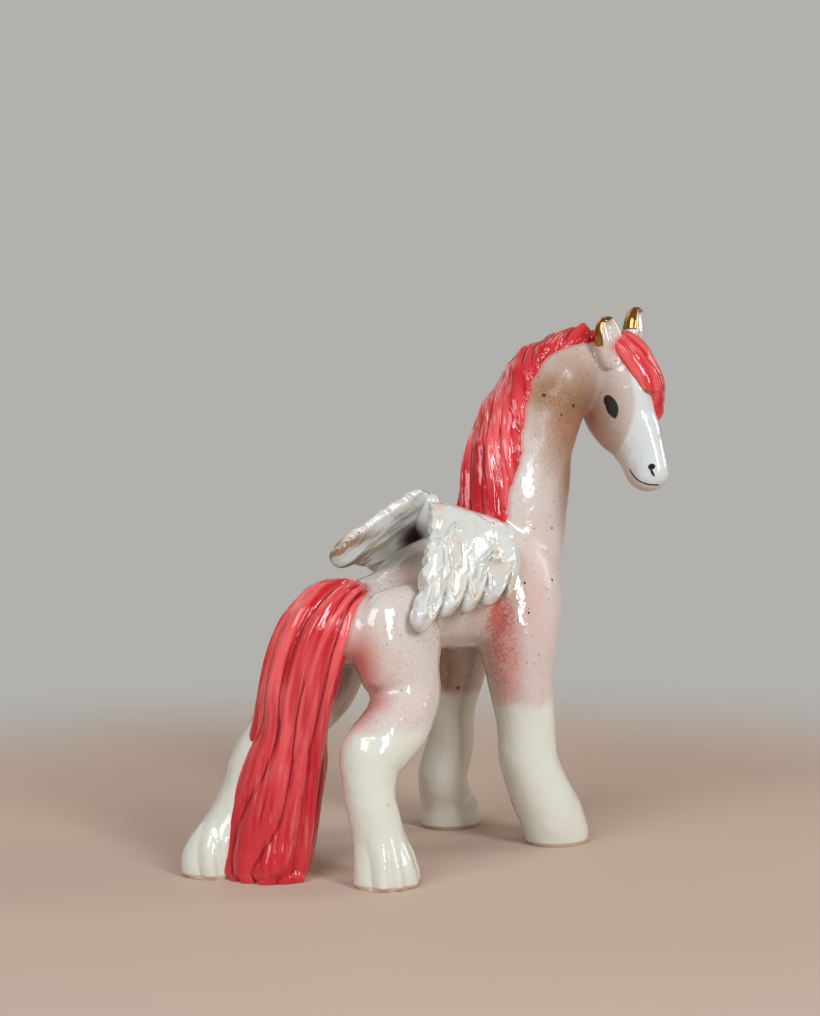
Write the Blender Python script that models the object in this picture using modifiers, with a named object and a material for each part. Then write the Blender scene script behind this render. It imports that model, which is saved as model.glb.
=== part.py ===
"""A winged pony figurine, cast in clay as one solid piece and glazed. Metres, +Z up, the chest towards +X.

The pony is laid out from its own midline, with the table at height zero. Its head is turned over its right
shoulder. A Station is one cross-section of a limb, and a limb is a skin drawn over a run of stations.
"""

import math

import bmesh
import bpy
from mathutils import Vector
from mathutils.bvhtree import BVHTree

# Where the frame's origin, under the middle of the figure's box, lies in the pony's own layout
ORIGIN_FORWARD = 0.0156
ORIGIN_LEFT = -0.0004

# Trunk, from the rump to the breast
RUMP_X = -0.0335
BREAST_X = 0.0613
CROUP_HEIGHT = 0.0772
BACK_HEIGHT = 0.0810
WITHERS_HEIGHT = 0.0880
BELLY_HEIGHT = 0.0555
HIP_HALF_WIDTH = 0.0150
LOIN_HALF_WIDTH = 0.0132
BARREL_HALF_WIDTH = 0.0145
SHOULDER_HALF_WIDTH = 0.0152

# Neck
NECK_HALF_DEPTH = 0.0160
NECK_HALF_WIDTH = 0.0145
NAPE_HALF_DEPTH = 0.0125
NAPE_HALF_WIDTH = 0.0110

# Legs
HAUNCH_HALF_LENGTH = 0.0145
HAUNCH_HALF_WIDTH = 0.0092
HOCK_RADIUS = 0.0092
RIGHT_CANNON_RADIUS = 0.0068
LEFT_CANNON_RADIUS = 0.0078
UPPER_ARM_RADIUS = 0.0104
RIGHT_KNEE_RADIUS = 0.0083
LEFT_KNEE_RADIUS = 0.0070
HOOF_HALF_LENGTH = 0.0092
HOOF_HALF_WIDTH = 0.0082
FEATHERING_TOP = 0.0160
FEATHERING_DEPTH = 0.0012
FEATHERING_LOCKS = 11
FEATHERING_SLANT = 1.5
FEATHERING_WANDER = 0.3

# Head
HEAD_TURN = math.radians(-81.0)
HEAD_DIP = math.radians(65.0)
HEAD_TILT = math.radians(13.0)
CROWN = Vector((0.0766, -0.0062, 0.1408))
CHEEK_HALF_DEPTH = 0.0122
CHEEK_HALF_WIDTH = 0.0080
NOSE_HALF_DEPTH = 0.0075
MUZZLE_HALF_WIDTH = 0.0050
EAR_LENGTH = 0.0145
EAR_HALF_WIDTH = 0.0047
EAR_SPREAD = 0.0058
EAR_SHIFT = 0.0010
EAR_CUP_DEPTH = 0.0022
GOLD_THICKNESS = 0.0004
GOLD_HALF_COVER = math.radians(85.0)
GOLD_TURN = math.radians(35.0)

# Hair
MANE_THICKNESS = 0.0026
MANE_HALF_COVER = math.radians(52.0)
FORELOCK_THICKNESS = 0.0024
FORELOCK_HALF_COVER = math.radians(66.0)
FORELOCK_LEAN = math.radians(14.0)
TAIL_HALF_WIDTH = 0.0108
TAIL_HALF_DEPTH = 0.0089
MANE_STRAND_DEPTH = 0.0022
MANE_LOCKS = 22
MANE_SLANT = 34.0
TAIL_STRAND_DEPTH = 0.0022
TAIL_LOCKS = 12
TAIL_SLANT = 3.5
FORELOCK_STRAND_DEPTH = 0.0012
FORELOCK_LOCKS = 20
FORELOCK_SLANT = 4.0

# Wings
WING_THICKNESS = 0.0050
RIGHT_WING_BULGE = 0.0030
LEFT_WING_BULGE = 0.0008
WING_PADDING = 1.3
WING_ROOT_RADIUS = 0.0066
COVERT_STEP = 0.0014
LOBE_REACH = 0.0050
RIGHT_TOP_CORNER = Vector((0.0078, -0.0040, 0.0975))
RIGHT_SHOULDER = Vector((0.0316, -0.0156, 0.0836))
RIGHT_LONG_TIP = Vector((-0.0176, -0.0214, 0.0695))
RIGHT_SHORT_TIP = Vector((0.0276, -0.0176, 0.0722))
RIGHT_WING = (RIGHT_TOP_CORNER, RIGHT_SHOULDER, RIGHT_LONG_TIP, RIGHT_SHORT_TIP)
LEFT_TOP_CORNER = Vector((0.0125, 0.0035, 0.1005))
LEFT_SHOULDER = Vector((0.0290, 0.0148, 0.0865))
LEFT_LONG_TIP = Vector((-0.0050, 0.0185, 0.0842))
LEFT_SHORT_TIP = Vector((0.0250, 0.0175, 0.0755))
LEFT_WING = (LEFT_TOP_CORNER, LEFT_SHOULDER, LEFT_LONG_TIP, LEFT_SHORT_TIP)

# Modelling
SOLE_SINK = 0.0030
FLESH_VOXEL = 0.0009
FIGURE_VOXEL = 0.0006
FACE_BUDGET = 11200
STEPS_PER_STATION = 5

# Painted colours
SOCK_TOP = 0.0400
PAINTS = {
    "pink_speckled_glaze": ((0.62, 0.42, 0.38, 1), 0.15, 0.0),
    "coral_hair_glaze": ((0.70, 0.05, 0.06, 1), 0.15, 0.0),
    "pearl_wing_glaze": ((0.62, 0.62, 0.54, 1), 0.12, 0.0),
    "cream_sock_glaze": ((0.72, 0.69, 0.58, 1), 0.15, 0.0),
    "gold_lustre": ((0.60, 0.36, 0.12, 1), 0.15, 1.0),
}

UP = Vector((0, 0, 1))
AHEAD = Vector((1, 0, 0))


def clear_scene():
    for old in list(bpy.data.objects):
        bpy.data.objects.remove(old)


class Station:
    """One cross-section: its centre, two half sizes and the direction that its depth is measured in."""

    def __init__(self, centre, depth, width, facing=AHEAD):
        self.centre = Vector(centre)
        self.depth = depth
        self.width = width
        self.facing = Vector(facing).normalized()


def curve_value(before, start, end, after, share):
    """Catmull-Rom blend of four neighbouring values, at a share of the way from start to end."""
    return 0.5 * (
        2 * start
        + (end - before) * share
        + (2 * before - 5 * start + 4 * end - after) * share**2
        + (3 * start - before - 3 * end + after) * share**3
    )


def flowing(stations, steps=STEPS_PER_STATION):
    """Stations on one smooth curve through the given ones."""
    made = []
    last = len(stations) - 1
    for i in range(last):
        near = [stations[max(i - 1, 0)], stations[i], stations[i + 1], stations[min(i + 2, last)]]
        for step in range(steps + (i == last - 1)):
            share = step / steps
            centre = curve_value(*[station.centre for station in near], share)
            depth = curve_value(*[station.depth for station in near], share)
            width = curve_value(*[station.width for station in near], share)
            made.append(Station(centre, depth, width, near[1].facing.lerp(near[2].facing, share)))
    return made


def section_axes(stations):
    """(depth axis, width axis) of each station, square to the line through the centres."""
    made = []
    for i, station in enumerate(stations):
        tangent = stations[min(i + 1, len(stations) - 1)].centre - stations[max(i - 1, 0)].centre
        tangent.normalize()
        depth_axis = (station.facing - tangent * station.facing.dot(tangent)).normalized()
        made.append((depth_axis, tangent.cross(depth_axis)))
    return made


def skin(name, rings, sides, point):
    """A closed mesh of rings, each bridged to the next. point(share along, angle, ring) places a corner."""
    shape = bmesh.new()
    loops = []
    for i in range(rings):
        made = bmesh.ops.create_circle(shape, segments=sides, radius=1.0)
        for k, vert in enumerate(made["verts"]):
            vert.co = point(i / (rings - 1), math.tau * k / sides, i)
        loops.append(list({edge for vert in made["verts"] for edge in vert.link_edges}))
    for first, second in zip(loops, loops[1:]):
        bmesh.ops.bridge_loops(shape, edges=first + second)
    bmesh.ops.edgeloop_fill(shape, edges=loops[0])
    bmesh.ops.edgeloop_fill(shape, edges=loops[-1])
    bmesh.ops.recalc_face_normals(shape, faces=shape.faces)
    mesh = bpy.data.meshes.new(name)
    shape.to_mesh(mesh)
    shape.free()
    return mesh


def limb(name, stations, sides=24, lift=None, steps=STEPS_PER_STATION):
    """A tube through the stations. lift(share along, angle, centre) is added to its radius."""
    run = flowing(stations, steps)
    axes = section_axes(run)

    def point(share, angle, ring):
        station, (depth_axis, width_axis) = run[ring], axes[ring]
        rise = lift(share, angle, station.centre) if lift else 0.0
        across = depth_axis * math.cos(angle) * max(station.depth + rise, 1e-4)
        return station.centre + across + width_axis * math.sin(angle) * max(station.width + rise, 1e-4)

    return skin(name, len(run), sides, point)


def smooth_share(value, start, end):
    """0 at start, 1 at end, eased in between. start may be the larger."""
    share = min(max((value - start) / (end - start), 0.0), 1.0)
    return share * share * (3 - 2 * share)


def off_angle(angle, middle):
    """How far the angle is from the middle one, signed."""
    return (angle - middle + math.pi) % math.tau - math.pi


def strands(count, angle, slant, wander):
    """Rounded hairs with sharp grooves between them, from -0.6 to 0.4."""
    return abs(math.sin(0.5 * (count * angle + slant) + wander)) - 0.6


def trunk_stations():
    croup_middle = (CROUP_HEIGHT + BELLY_HEIGHT) / 2
    croup_half = (CROUP_HEIGHT - BELLY_HEIGHT) / 2
    back_middle = (BACK_HEIGHT + BELLY_HEIGHT) / 2
    back_half = (BACK_HEIGHT - BELLY_HEIGHT) / 2
    withers_middle = (WITHERS_HEIGHT + BELLY_HEIGHT) / 2
    withers_half = (WITHERS_HEIGHT - BELLY_HEIGHT) / 2
    return [
        Station((RUMP_X, 0, 0.0690), 0.0020, 0.0020, UP),
        Station((RUMP_X + 0.0020, 0, 0.0685), 0.0060, 0.0070, UP),
        Station((RUMP_X + 0.0080, 0, 0.0655), 0.0096, HIP_HALF_WIDTH - 0.0020, UP),
        Station((RUMP_X + 0.0200, 0, croup_middle), croup_half, HIP_HALF_WIDTH - 0.0004, UP),
        Station((RUMP_X + 0.0340, 0, back_middle), back_half, LOIN_HALF_WIDTH, UP),
        Station((RUMP_X + 0.0500, 0, withers_middle), withers_half, BARREL_HALF_WIDTH, UP),
        Station((BREAST_X - 0.0260, 0, 0.0710), withers_half, SHOULDER_HALF_WIDTH, UP),
        Station((BREAST_X - 0.0130, 0, 0.0710), withers_half - 0.0006, SHOULDER_HALF_WIDTH - 0.0016, UP),
        Station((BREAST_X - 0.0040, 0, 0.0730), 0.0110, 0.0098, UP),
        Station((BREAST_X - 0.0005, 0, 0.0735), 0.0035, 0.0035, UP),
    ]


def neck_stations():
    depth, width = NECK_HALF_DEPTH, NECK_HALF_WIDTH
    nape_depth, nape_width = NAPE_HALF_DEPTH, NAPE_HALF_WIDTH
    return [
        Station((0.0410, 0, 0.0700), depth + 0.0005, width),
        Station((0.0463, 0, 0.0850), depth - 0.0002, width),
        Station((0.0488, 0, 0.1000), depth - 0.0008, width - 0.0003, (1, -0.1, 0)),
        Station((0.0527, -0.0003, 0.1130), depth - 0.0024, width - 0.0014, (1, -0.3, 0)),
        Station((0.0588, -0.0012, 0.1230), nape_depth - 0.0003, nape_width + 0.0006, (1, -0.6, 0)),
        Station((0.0645, -0.0022, 0.1295), nape_depth - 0.0014, nape_width, (1, -1.0, -0.4)),
        Station((0.0710, -0.0038, 0.1335), nape_depth - 0.0030, nape_width - 0.0015, (0.5, -0.8, -0.8)),
        Station((0.0765, -0.0060, 0.1352), nape_depth - 0.0040, nape_width - 0.0030, (0.2, -0.5, -1.0)),
    ]


def head_axes():
    """(down the nose, out of the forehead, to the left of the face)."""
    level = Vector((math.cos(HEAD_TURN), math.sin(HEAD_TURN), 0))
    nose = level * math.cos(HEAD_DIP) - UP * math.sin(HEAD_DIP)
    brow = level * math.sin(HEAD_DIP) + UP * math.cos(HEAD_DIP)
    left = nose.cross(brow) * -1
    tilted = left * math.cos(HEAD_TILT) + UP * math.sin(HEAD_TILT)
    return nose, brow, tilted


def on_head(along, out, left=0.0):
    """A point on the head: along the nose from the crown, out of the forehead, and to the left."""
    nose, brow, side = head_axes()
    return CROWN + nose * along + brow * out + side * left


def head_stations():
    brow = head_axes()[1]
    return [
        Station(on_head(0.0000, 0.0045), 0.0025, 0.0020, brow),
        Station(on_head(0.0025, 0.0042), 0.0064, 0.0052, brow),
        Station(on_head(0.0070, 0.0030), 0.0094, CHEEK_HALF_WIDTH - 0.0010, brow),
        Station(on_head(0.0130, 0.0010), CHEEK_HALF_DEPTH - 0.0002, CHEEK_HALF_WIDTH, brow),
        Station(on_head(0.0190, -0.0008), CHEEK_HALF_DEPTH, CHEEK_HALF_WIDTH, brow),
        Station(on_head(0.0250, -0.0010), CHEEK_HALF_DEPTH - 0.0014, CHEEK_HALF_WIDTH - 0.0009, brow),
        Station(on_head(0.0300, -0.0002), NOSE_HALF_DEPTH + 0.0016, MUZZLE_HALF_WIDTH + 0.0012, brow),
        Station(on_head(0.0350, 0.0000), NOSE_HALF_DEPTH + 0.0002, MUZZLE_HALF_WIDTH + 0.0002, brow),
        Station(on_head(0.0390, 0.0000), NOSE_HALF_DEPTH - 0.0006, MUZZLE_HALF_WIDTH - 0.0001, brow),
        Station(on_head(0.0430, -0.0002), NOSE_HALF_DEPTH - 0.0014, MUZZLE_HALF_WIDTH - 0.0002, brow),
        Station(on_head(0.0455, -0.0006), NOSE_HALF_DEPTH - 0.0036, MUZZLE_HALF_WIDTH - 0.0016, brow),
        Station(on_head(0.0465, -0.0008), 0.0015, 0.0012, brow),
    ]


def fore_leg(elbow, knee, pastern, hoof, knee_radius):
    """Each place is (forward, left). The leg stays inside the trunk above the elbow."""
    arm = UPPER_ARM_RADIUS - RIGHT_KNEE_RADIUS + knee_radius
    forearm = knee_radius + 0.0012
    coronet = (pastern[0] + hoof[0]) / 2
    return [
        Station((elbow[0] + 0.0030, elbow[1] * 0.40, 0.0900), 0.0060, 0.0040),
        Station((elbow[0] + 0.0030, elbow[1] * 0.60, 0.0820), arm + 0.0030, arm - 0.0020),
        Station((elbow[0] + 0.0022, elbow[1] * 0.85, 0.0710), arm + 0.0038, arm),
        Station((*elbow, 0.0576), arm + 0.0018, arm + 0.0004),
        Station((elbow[0] - 0.0003, (elbow[1] + knee[1]) / 2, 0.0464), forearm, forearm),
        Station((*knee, 0.0352), knee_radius, knee_radius),
        Station((knee[0] + 0.0002, knee[1] * 1.05, 0.0250), knee_radius, knee_radius),
        Station((*pastern, 0.0160), knee_radius + 0.0004, knee_radius + 0.0002),
        Station((coronet, hoof[1] * 0.98, 0.0090), knee_radius + 0.0010, knee_radius + 0.0005),
        Station((hoof[0] - 0.0010, hoof[1], 0.0035), HOOF_HALF_LENGTH + 0.0004, HOOF_HALF_WIDTH + 0.0004),
        Station((*hoof, 0), HOOF_HALF_LENGTH, HOOF_HALF_WIDTH),
        Station((*hoof, -SOLE_SINK), HOOF_HALF_LENGTH - 0.0010, HOOF_HALF_WIDTH - 0.0008),
    ]


def hind_leg(hip, stifle, hock, cannon, hoof, cannon_radius):
    """Each place is (forward, left). The haunch is sunk into the croup at its top."""
    gaskin = (stifle[0] + hock[0]) / 2 + 0.0020
    below_hock = ((hock[0] + cannon[0]) / 2 - 0.0010, (hock[1] + cannon[1]) / 2)
    pastern = ((cannon[0] + hoof[0]) / 2, (cannon[1] + hoof[1]) / 2)
    haunch = (HAUNCH_HALF_LENGTH, HAUNCH_HALF_WIDTH)
    return [
        Station((hip[0] - 0.0010, hip[1] * 0.70, 0.0745), 0.0070, 0.0040),
        Station((hip[0] - 0.0005, hip[1] * 0.92, 0.0710), haunch[0] - 0.0020, haunch[1] - 0.0012),
        Station((*hip, 0.0640), *haunch),
        Station((hip[0], hip[1] * 1.10, 0.0560), haunch[0] - 0.0015, haunch[1] + 0.0002),
        Station((*stifle, 0.0480), HOCK_RADIUS + 0.0008, HOCK_RADIUS - 0.0004),
        Station((gaskin, hock[1], 0.0415), HOCK_RADIUS - 0.0002, HOCK_RADIUS - 0.0002),
        Station((*hock, 0.0340), HOCK_RADIUS, HOCK_RADIUS - 0.0006),
        Station((*below_hock, 0.0280), cannon_radius + 0.0006, cannon_radius + 0.0004),
        Station((*cannon, 0.0220), cannon_radius, cannon_radius),
        Station((*pastern, 0.0120), cannon_radius + 0.0003, cannon_radius + 0.0003),
        Station((hoof[0] - 0.0006, hoof[1], 0.0045), HOOF_HALF_LENGTH - 0.0005, HOOF_HALF_WIDTH),
        Station((*hoof, 0), HOOF_HALF_LENGTH, HOOF_HALF_WIDTH),
        Station((*hoof, -SOLE_SINK), HOOF_HALF_LENGTH - 0.0008, HOOF_HALF_WIDTH - 0.0006),
    ]


def feathered(share, angle, centre):
    """The long hair above a hoof, as flutes that fade out up the leg."""
    fade = smooth_share(centre.z, FEATHERING_TOP, FEATHERING_TOP / 3)
    wander = FEATHERING_WANDER * math.sin(3 * angle)
    return FEATHERING_DEPTH * fade * strands(FEATHERING_LOCKS, angle, FEATHERING_SLANT, wander)


def leg_meshes():
    """The two forelegs stand side by side. The left hind leg is set well back, with the tail against it."""
    right_fore = fore_leg(
        elbow=(0.0366, -0.0110),
        knee=(0.0367, -0.0139),
        pastern=(0.0392, -0.0164),
        hoof=(0.0458, -0.0184),
        knee_radius=RIGHT_KNEE_RADIUS,
    )
    left_fore = fore_leg(
        elbow=(0.0385, 0.0120),
        knee=(0.0371, 0.0148),
        pastern=(0.0358, 0.0172),
        hoof=(0.0419, 0.0192),
        knee_radius=LEFT_KNEE_RADIUS,
    )
    right_hind = hind_leg(
        hip=(-0.0130, -0.0115),
        stifle=(-0.0128, -0.0147),
        hock=(-0.0266, -0.0167),
        cannon=(-0.0297, -0.0185),
        hoof=(-0.0266, -0.0215),
        cannon_radius=RIGHT_CANNON_RADIUS,
    )
    left_hind = hind_leg(
        hip=(-0.0150, 0.0110),
        stifle=(-0.0175, 0.0122),
        hock=(-0.0335, 0.0146),
        cannon=(-0.0400, 0.0167),
        hoof=(-0.0483, 0.0210),
        cannon_radius=LEFT_CANNON_RADIUS,
    )
    return [
        limb("right_fore_leg", right_fore),
        limb("left_fore_leg", left_fore),
        limb("right_hind_leg", right_hind, 88, feathered),
        limb("left_hind_leg", left_hind, 88, feathered),
    ]


def mane_mesh():
    """Hair laid over the crest: the neck's own sections, raised where the mane lies and sunk elsewhere."""
    crest = math.pi

    def lift(share, angle, centre):
        off = off_angle(angle, crest)
        ragged = 0.04 * math.sin(31 * share) + 0.03 * math.sin(53 * share + 1)
        spread = 1.0 + 0.25 * smooth_share(share, 0.55, 0.85) - 0.30 * smooth_share(share, 0.35, 0.05)
        edge = MANE_HALF_COVER * spread + ragged
        cover = smooth_share(abs(off), edge + 0.22, edge - 0.06)
        wander = 1.1 * math.sin(9 * share + 3 * off) + 0.6 * math.sin(23 * share)
        hair = MANE_THICKNESS + MANE_STRAND_DEPTH * strands(MANE_LOCKS, off, MANE_SLANT * share, wander)
        return cover * hair - (1 - cover) * 0.0018

    return limb("mane", neck_stations()[1:], 110, lift, 14)


def forelock_mesh():
    """Hair that falls from between the ears down the forehead to a point."""

    def lift(share, angle, centre):
        off = off_angle(angle, -FORELOCK_LEAN * smooth_share(share, 0.1, 0.5))
        reach = FORELOCK_HALF_COVER * (1 - smooth_share(share, 0.25, 1.04))
        cover = max(smooth_share(abs(off), reach + 0.12, reach - 0.10), smooth_share(share, 0.14, 0.06))
        wander = 0.5 * math.sin(8 * share)
        lock = strands(FORELOCK_LOCKS, off, FORELOCK_SLANT * share, wander)
        hair = FORELOCK_THICKNESS + FORELOCK_STRAND_DEPTH * lock
        return cover * hair - (1 - cover) * 0.0016

    return limb("forelock", head_stations()[:7], 90, lift, 8)


def tail_mesh():
    stations = [
        Station((-0.0155, 0, 0.0735), 0.0020, 0.0030, UP),
        Station((-0.0178, 0, 0.0735), 0.0046, 0.0064, UP),
        Station((-0.0250, 0.0003, 0.0712), 0.0068, TAIL_HALF_WIDTH - 0.0012, (-0.6, 0, 1)),
        Station((-0.0310, 0.0015, 0.0640), TAIL_HALF_DEPTH - 0.0004, TAIL_HALF_WIDTH, (-1, 0, 0.5)),
        Station((-0.0338, 0.0042, 0.0520), TAIL_HALF_DEPTH, TAIL_HALF_WIDTH, (-1, 0, 0.1)),
        Station((-0.0347, 0.0063, 0.0400), TAIL_HALF_DEPTH - 0.0002, TAIL_HALF_WIDTH - 0.0002, (-1, 0, 0)),
        Station((-0.0357, 0.0080, 0.0300), TAIL_HALF_DEPTH + 0.0010, TAIL_HALF_WIDTH + 0.0006, (-1, 0, 0)),
        Station((-0.0387, 0.0092, 0.0160), TAIL_HALF_DEPTH + 0.0018, TAIL_HALF_WIDTH + 0.0018, (-1, 0, 0)),
        Station((-0.0414, 0.0100, 0.0040), TAIL_HALF_DEPTH + 0.0016, TAIL_HALF_WIDTH + 0.0026, (-1, 0, 0)),
        Station((-0.0420, 0.0100, 0), TAIL_HALF_DEPTH + 0.0012, TAIL_HALF_WIDTH + 0.0022, (-1, 0, 0)),
        Station((-0.0422, 0.0100, -SOLE_SINK), TAIL_HALF_DEPTH, TAIL_HALF_WIDTH, (-1, 0, 0)),
    ]

    def lift(share, angle, centre):
        wander = 1.4 * math.sin(6 * share + angle) + 0.8 * math.sin(14 * share + 2 * angle)
        return TAIL_STRAND_DEPTH * strands(TAIL_LOCKS, angle, TAIL_SLANT * share, wander)

    return limb("tail", stations, 96, lift, 8)


def ear_stations(side):
    """A leaf-shaped ear. side is 1 for the left ear, and the ears lean apart."""
    nose, brow, left = head_axes()
    root = on_head(0.0085, 0.0052, side * EAR_SPREAD + EAR_SHIFT)
    rise = (UP + left * side * 0.24 - brow * 0.06).normalized()
    opening = brow + left * side * 0.35
    shares = [(0, 0.80), (0.25, 1.00), (0.5, 1.02), (0.75, 0.80), (0.92, 0.42), (1.0, 0.14)]
    return [
        Station(root + rise * EAR_LENGTH * share, EAR_HALF_WIDTH * 0.72 * size, EAR_HALF_WIDTH * size, opening)
        for share, size in shares
    ]


def ear_cup(share, angle):
    """How far the front of the ear is hollowed."""
    hollow = math.exp(-((off_angle(angle, 0) / 0.75) ** 2)) * smooth_share(share, 1.0, 0.7)
    return -EAR_CUP_DEPTH * hollow * smooth_share(share, 0.05, 0.3)


def ear_mesh(side):
    return limb("ear", ear_stations(side), 32, lambda share, angle, centre: ear_cup(share, angle))


def ear_gold_mesh(side):
    """The gilded rear rim of the ear's upper half, a thin layer proud of the glaze."""

    def lift(share, angle, centre):
        gilded = abs(off_angle(angle, math.pi + GOLD_TURN)) < GOLD_HALF_COVER
        return GOLD_THICKNESS if gilded else -EAR_CUP_DEPTH

    return limb("ear_gold", ear_stations(side)[2:], 32, lift)


def scallops(share, edges):
    """0 at each edge between two lobes and 1 in the middle of a lobe, rounded like a feather's end."""
    for start, end in zip(edges, edges[1:]):
        if share <= end:
            off = (2 * share - start - end) / (end - start)
            return math.sqrt(max(1 - off * off, 0.0))
    return 0.0


TIP_LOBES = (0.0, 0.30, 0.54, 0.74, 1.0)
SECOND_LOBES = (0.0, 0.16, 0.40, 0.63, 0.84, 1.0)
THIRD_LOBES = (0.0, 0.28, 0.52, 0.76, 1.0)


def wing_mesh(name, top_corner, shoulder, long_tip, short_tip, bulge, side):
    """A slab draped from the withers. Rows of lobes lie over each other like feathers."""
    outward = Vector((-0.20, side * 0.80, 0.50)).normalized()
    top_bow = Vector((0.0010, -side * 0.0016, 0.0016))

    def frame_point(across, down):
        """across runs from the rear edge to the front one, down from the withers to the tips."""
        top = top_corner.lerp(shoulder, across) + top_bow * math.sin(math.pi * across)
        tip = long_tip.lerp(short_tip, across)
        rise = smooth_share(across, 0.12, 0.36) * 0.0035 - 0.0020 * math.sin(math.pi * across)
        tip = tip + UP * rise
        fall = (tip - top).normalized()
        tip = tip + fall * LOBE_REACH * scallops(across, TIP_LOBES)
        jag = 0.0007 * math.sin(30 * down) * (1 - smooth_share(across, 0.0, 0.15))
        bow = bulge * math.sin(math.pi * down) * (1 - 0.5 * across)
        return top.lerp(tip, down) + outward * bow + AHEAD * jag

    def relief(across, down):
        """The thickness above the slab: each upper row of feathers stands one step over the next."""
        second = 0.52 + 0.16 * scallops(across, SECOND_LOBES)
        third = 0.20 + 0.17 * scallops(across, THIRD_LOBES)
        steps = smooth_share(down, second, second - 0.05) + smooth_share(down, third, third - 0.05)
        groove = 1 - smooth_share(scallops(across, TIP_LOBES), 0.0, 0.70)
        return COVERT_STEP * (steps - groove * smooth_share(down, 0.45, 0.65))

    def point(share, angle, ring):
        across = 0.5 - 0.5 * math.cos(angle)
        round_off = math.sqrt(max(1 - (2 * share - 1) ** 10, 0.0))
        thickness = WING_THICKNESS / 2 * abs(math.sin(angle)) ** 0.5 * round_off
        place = frame_point(across, share)
        if math.sin(angle) > 0:
            return place + outward * (thickness + relief(across, share) * min(1, thickness / 0.001))
        return place - outward * thickness * (1 + WING_PADDING * across)

    return skin(name, 44, 120, point)


def wing_root_mesh(top_corner, side):
    """The clay that carries a wing, from inside the base of the neck to under the wing's top."""
    end = top_corner + Vector((0.0040, 0, -0.0015))
    stations = [
        Station((0.0360, side * 0.0050, 0.0820), WING_ROOT_RADIUS + 0.0015, WING_ROOT_RADIUS),
        Station((0.0270, side * 0.0058, 0.0870), WING_ROOT_RADIUS, WING_ROOT_RADIUS),
        Station((0.0195, side * 0.0060, 0.0905), WING_ROOT_RADIUS - 0.0015, WING_ROOT_RADIUS - 0.0010),
        Station(end, 0.0022, 0.0022),
    ]
    return limb("wing_root", stations)


def object_from(name, meshes):
    """One object that holds copies of all of these meshes."""
    shape = bmesh.new()
    for mesh in meshes:
        shape.from_mesh(mesh)
    mesh = bpy.data.meshes.new(name)
    shape.to_mesh(mesh)
    shape.free()
    made = bpy.data.objects.new(name, mesh)
    bpy.context.scene.collection.objects.link(made)
    return made


def add_modifier(target, name, kind, **settings):
    modifier = target.modifiers.new(name, kind)
    for key, value in settings.items():
        setattr(modifier, key, value)
    return modifier


def settled_mesh(source):
    """The object's mesh with its modifiers applied. The object is removed."""
    bpy.context.view_layer.update()
    graph = bpy.context.evaluated_depsgraph_get()
    mesh = bpy.data.meshes.new_from_object(source.evaluated_get(graph))
    bpy.data.objects.remove(source)
    return mesh


def fused(name, meshes, voxel, smoothing):
    joined = object_from(name, meshes)
    add_modifier(joined, "fuse", "REMESH", mode="VOXEL", voxel_size=voxel)
    add_modifier(joined, "wet_clay", "SMOOTH", factor=0.5, iterations=smoothing)
    return settled_mesh(joined)


def coarsened(mesh):
    triangles = sum(len(face.vertices) - 2 for face in mesh.polygons)
    coarse = object_from("coarse", [mesh])
    add_modifier(coarse, "coarsen", "DECIMATE", ratio=min(FACE_BUDGET / triangles, 1.0))
    return settled_mesh(coarse)


def stood_on_table(mesh):
    """The soles and the tail's end cut flat at the table, and the origin moved to under the middle."""
    shape = bmesh.new()
    shape.from_mesh(mesh)
    everything = shape.verts[:] + shape.edges[:] + shape.faces[:]
    cut = bmesh.ops.bisect_plane(
        shape, geom=everything, plane_co=(0, 0, 0), plane_no=(0, 0, -1), clear_outer=True
    )
    rim = [item for item in cut["geom_cut"] if isinstance(item, bmesh.types.BMEdge)]
    bmesh.ops.holes_fill(shape, edges=rim, sides=0)
    bmesh.ops.translate(shape, vec=(-ORIGIN_FORWARD, -ORIGIN_LEFT, 0), verts=shape.verts)
    shape.to_mesh(mesh)
    shape.free()


def paint(name):
    """The glaze of this name, as a Principled material."""
    colour, roughness, metallic = PAINTS[name]
    material = bpy.data.materials.new(name)
    material.use_nodes = True
    material.diffuse_color = colour
    shader = material.node_tree.nodes["Principled BSDF"]
    shader.inputs["Base Color"].default_value = colour
    shader.inputs["Roughness"].default_value = roughness
    shader.inputs["Metallic"].default_value = metallic
    return material


def painted(mesh, coloured):
    """Gives each face the glaze of the form that it came from. coloured is (mesh, glaze name) pairs."""
    names = list(PAINTS)
    for name in names:
        mesh.materials.append(paint(name))
    trees = []
    for form, glaze in coloured:
        shape = bmesh.new()
        shape.from_mesh(form)
        bmesh.ops.translate(shape, vec=(-ORIGIN_FORWARD, -ORIGIN_LEFT, 0), verts=shape.verts)
        trees.append((BVHTree.FromBMesh(shape), names.index(glaze)))
        shape.free()
    for face in mesh.polygons:
        reach, index = min((tree.find_nearest(face.center)[3], index) for tree, index in trees)
        if index == 0 and face.center.z < SOCK_TOP:
            index = names.index("cream_sock_glaze")
        face.material_index = index


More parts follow.
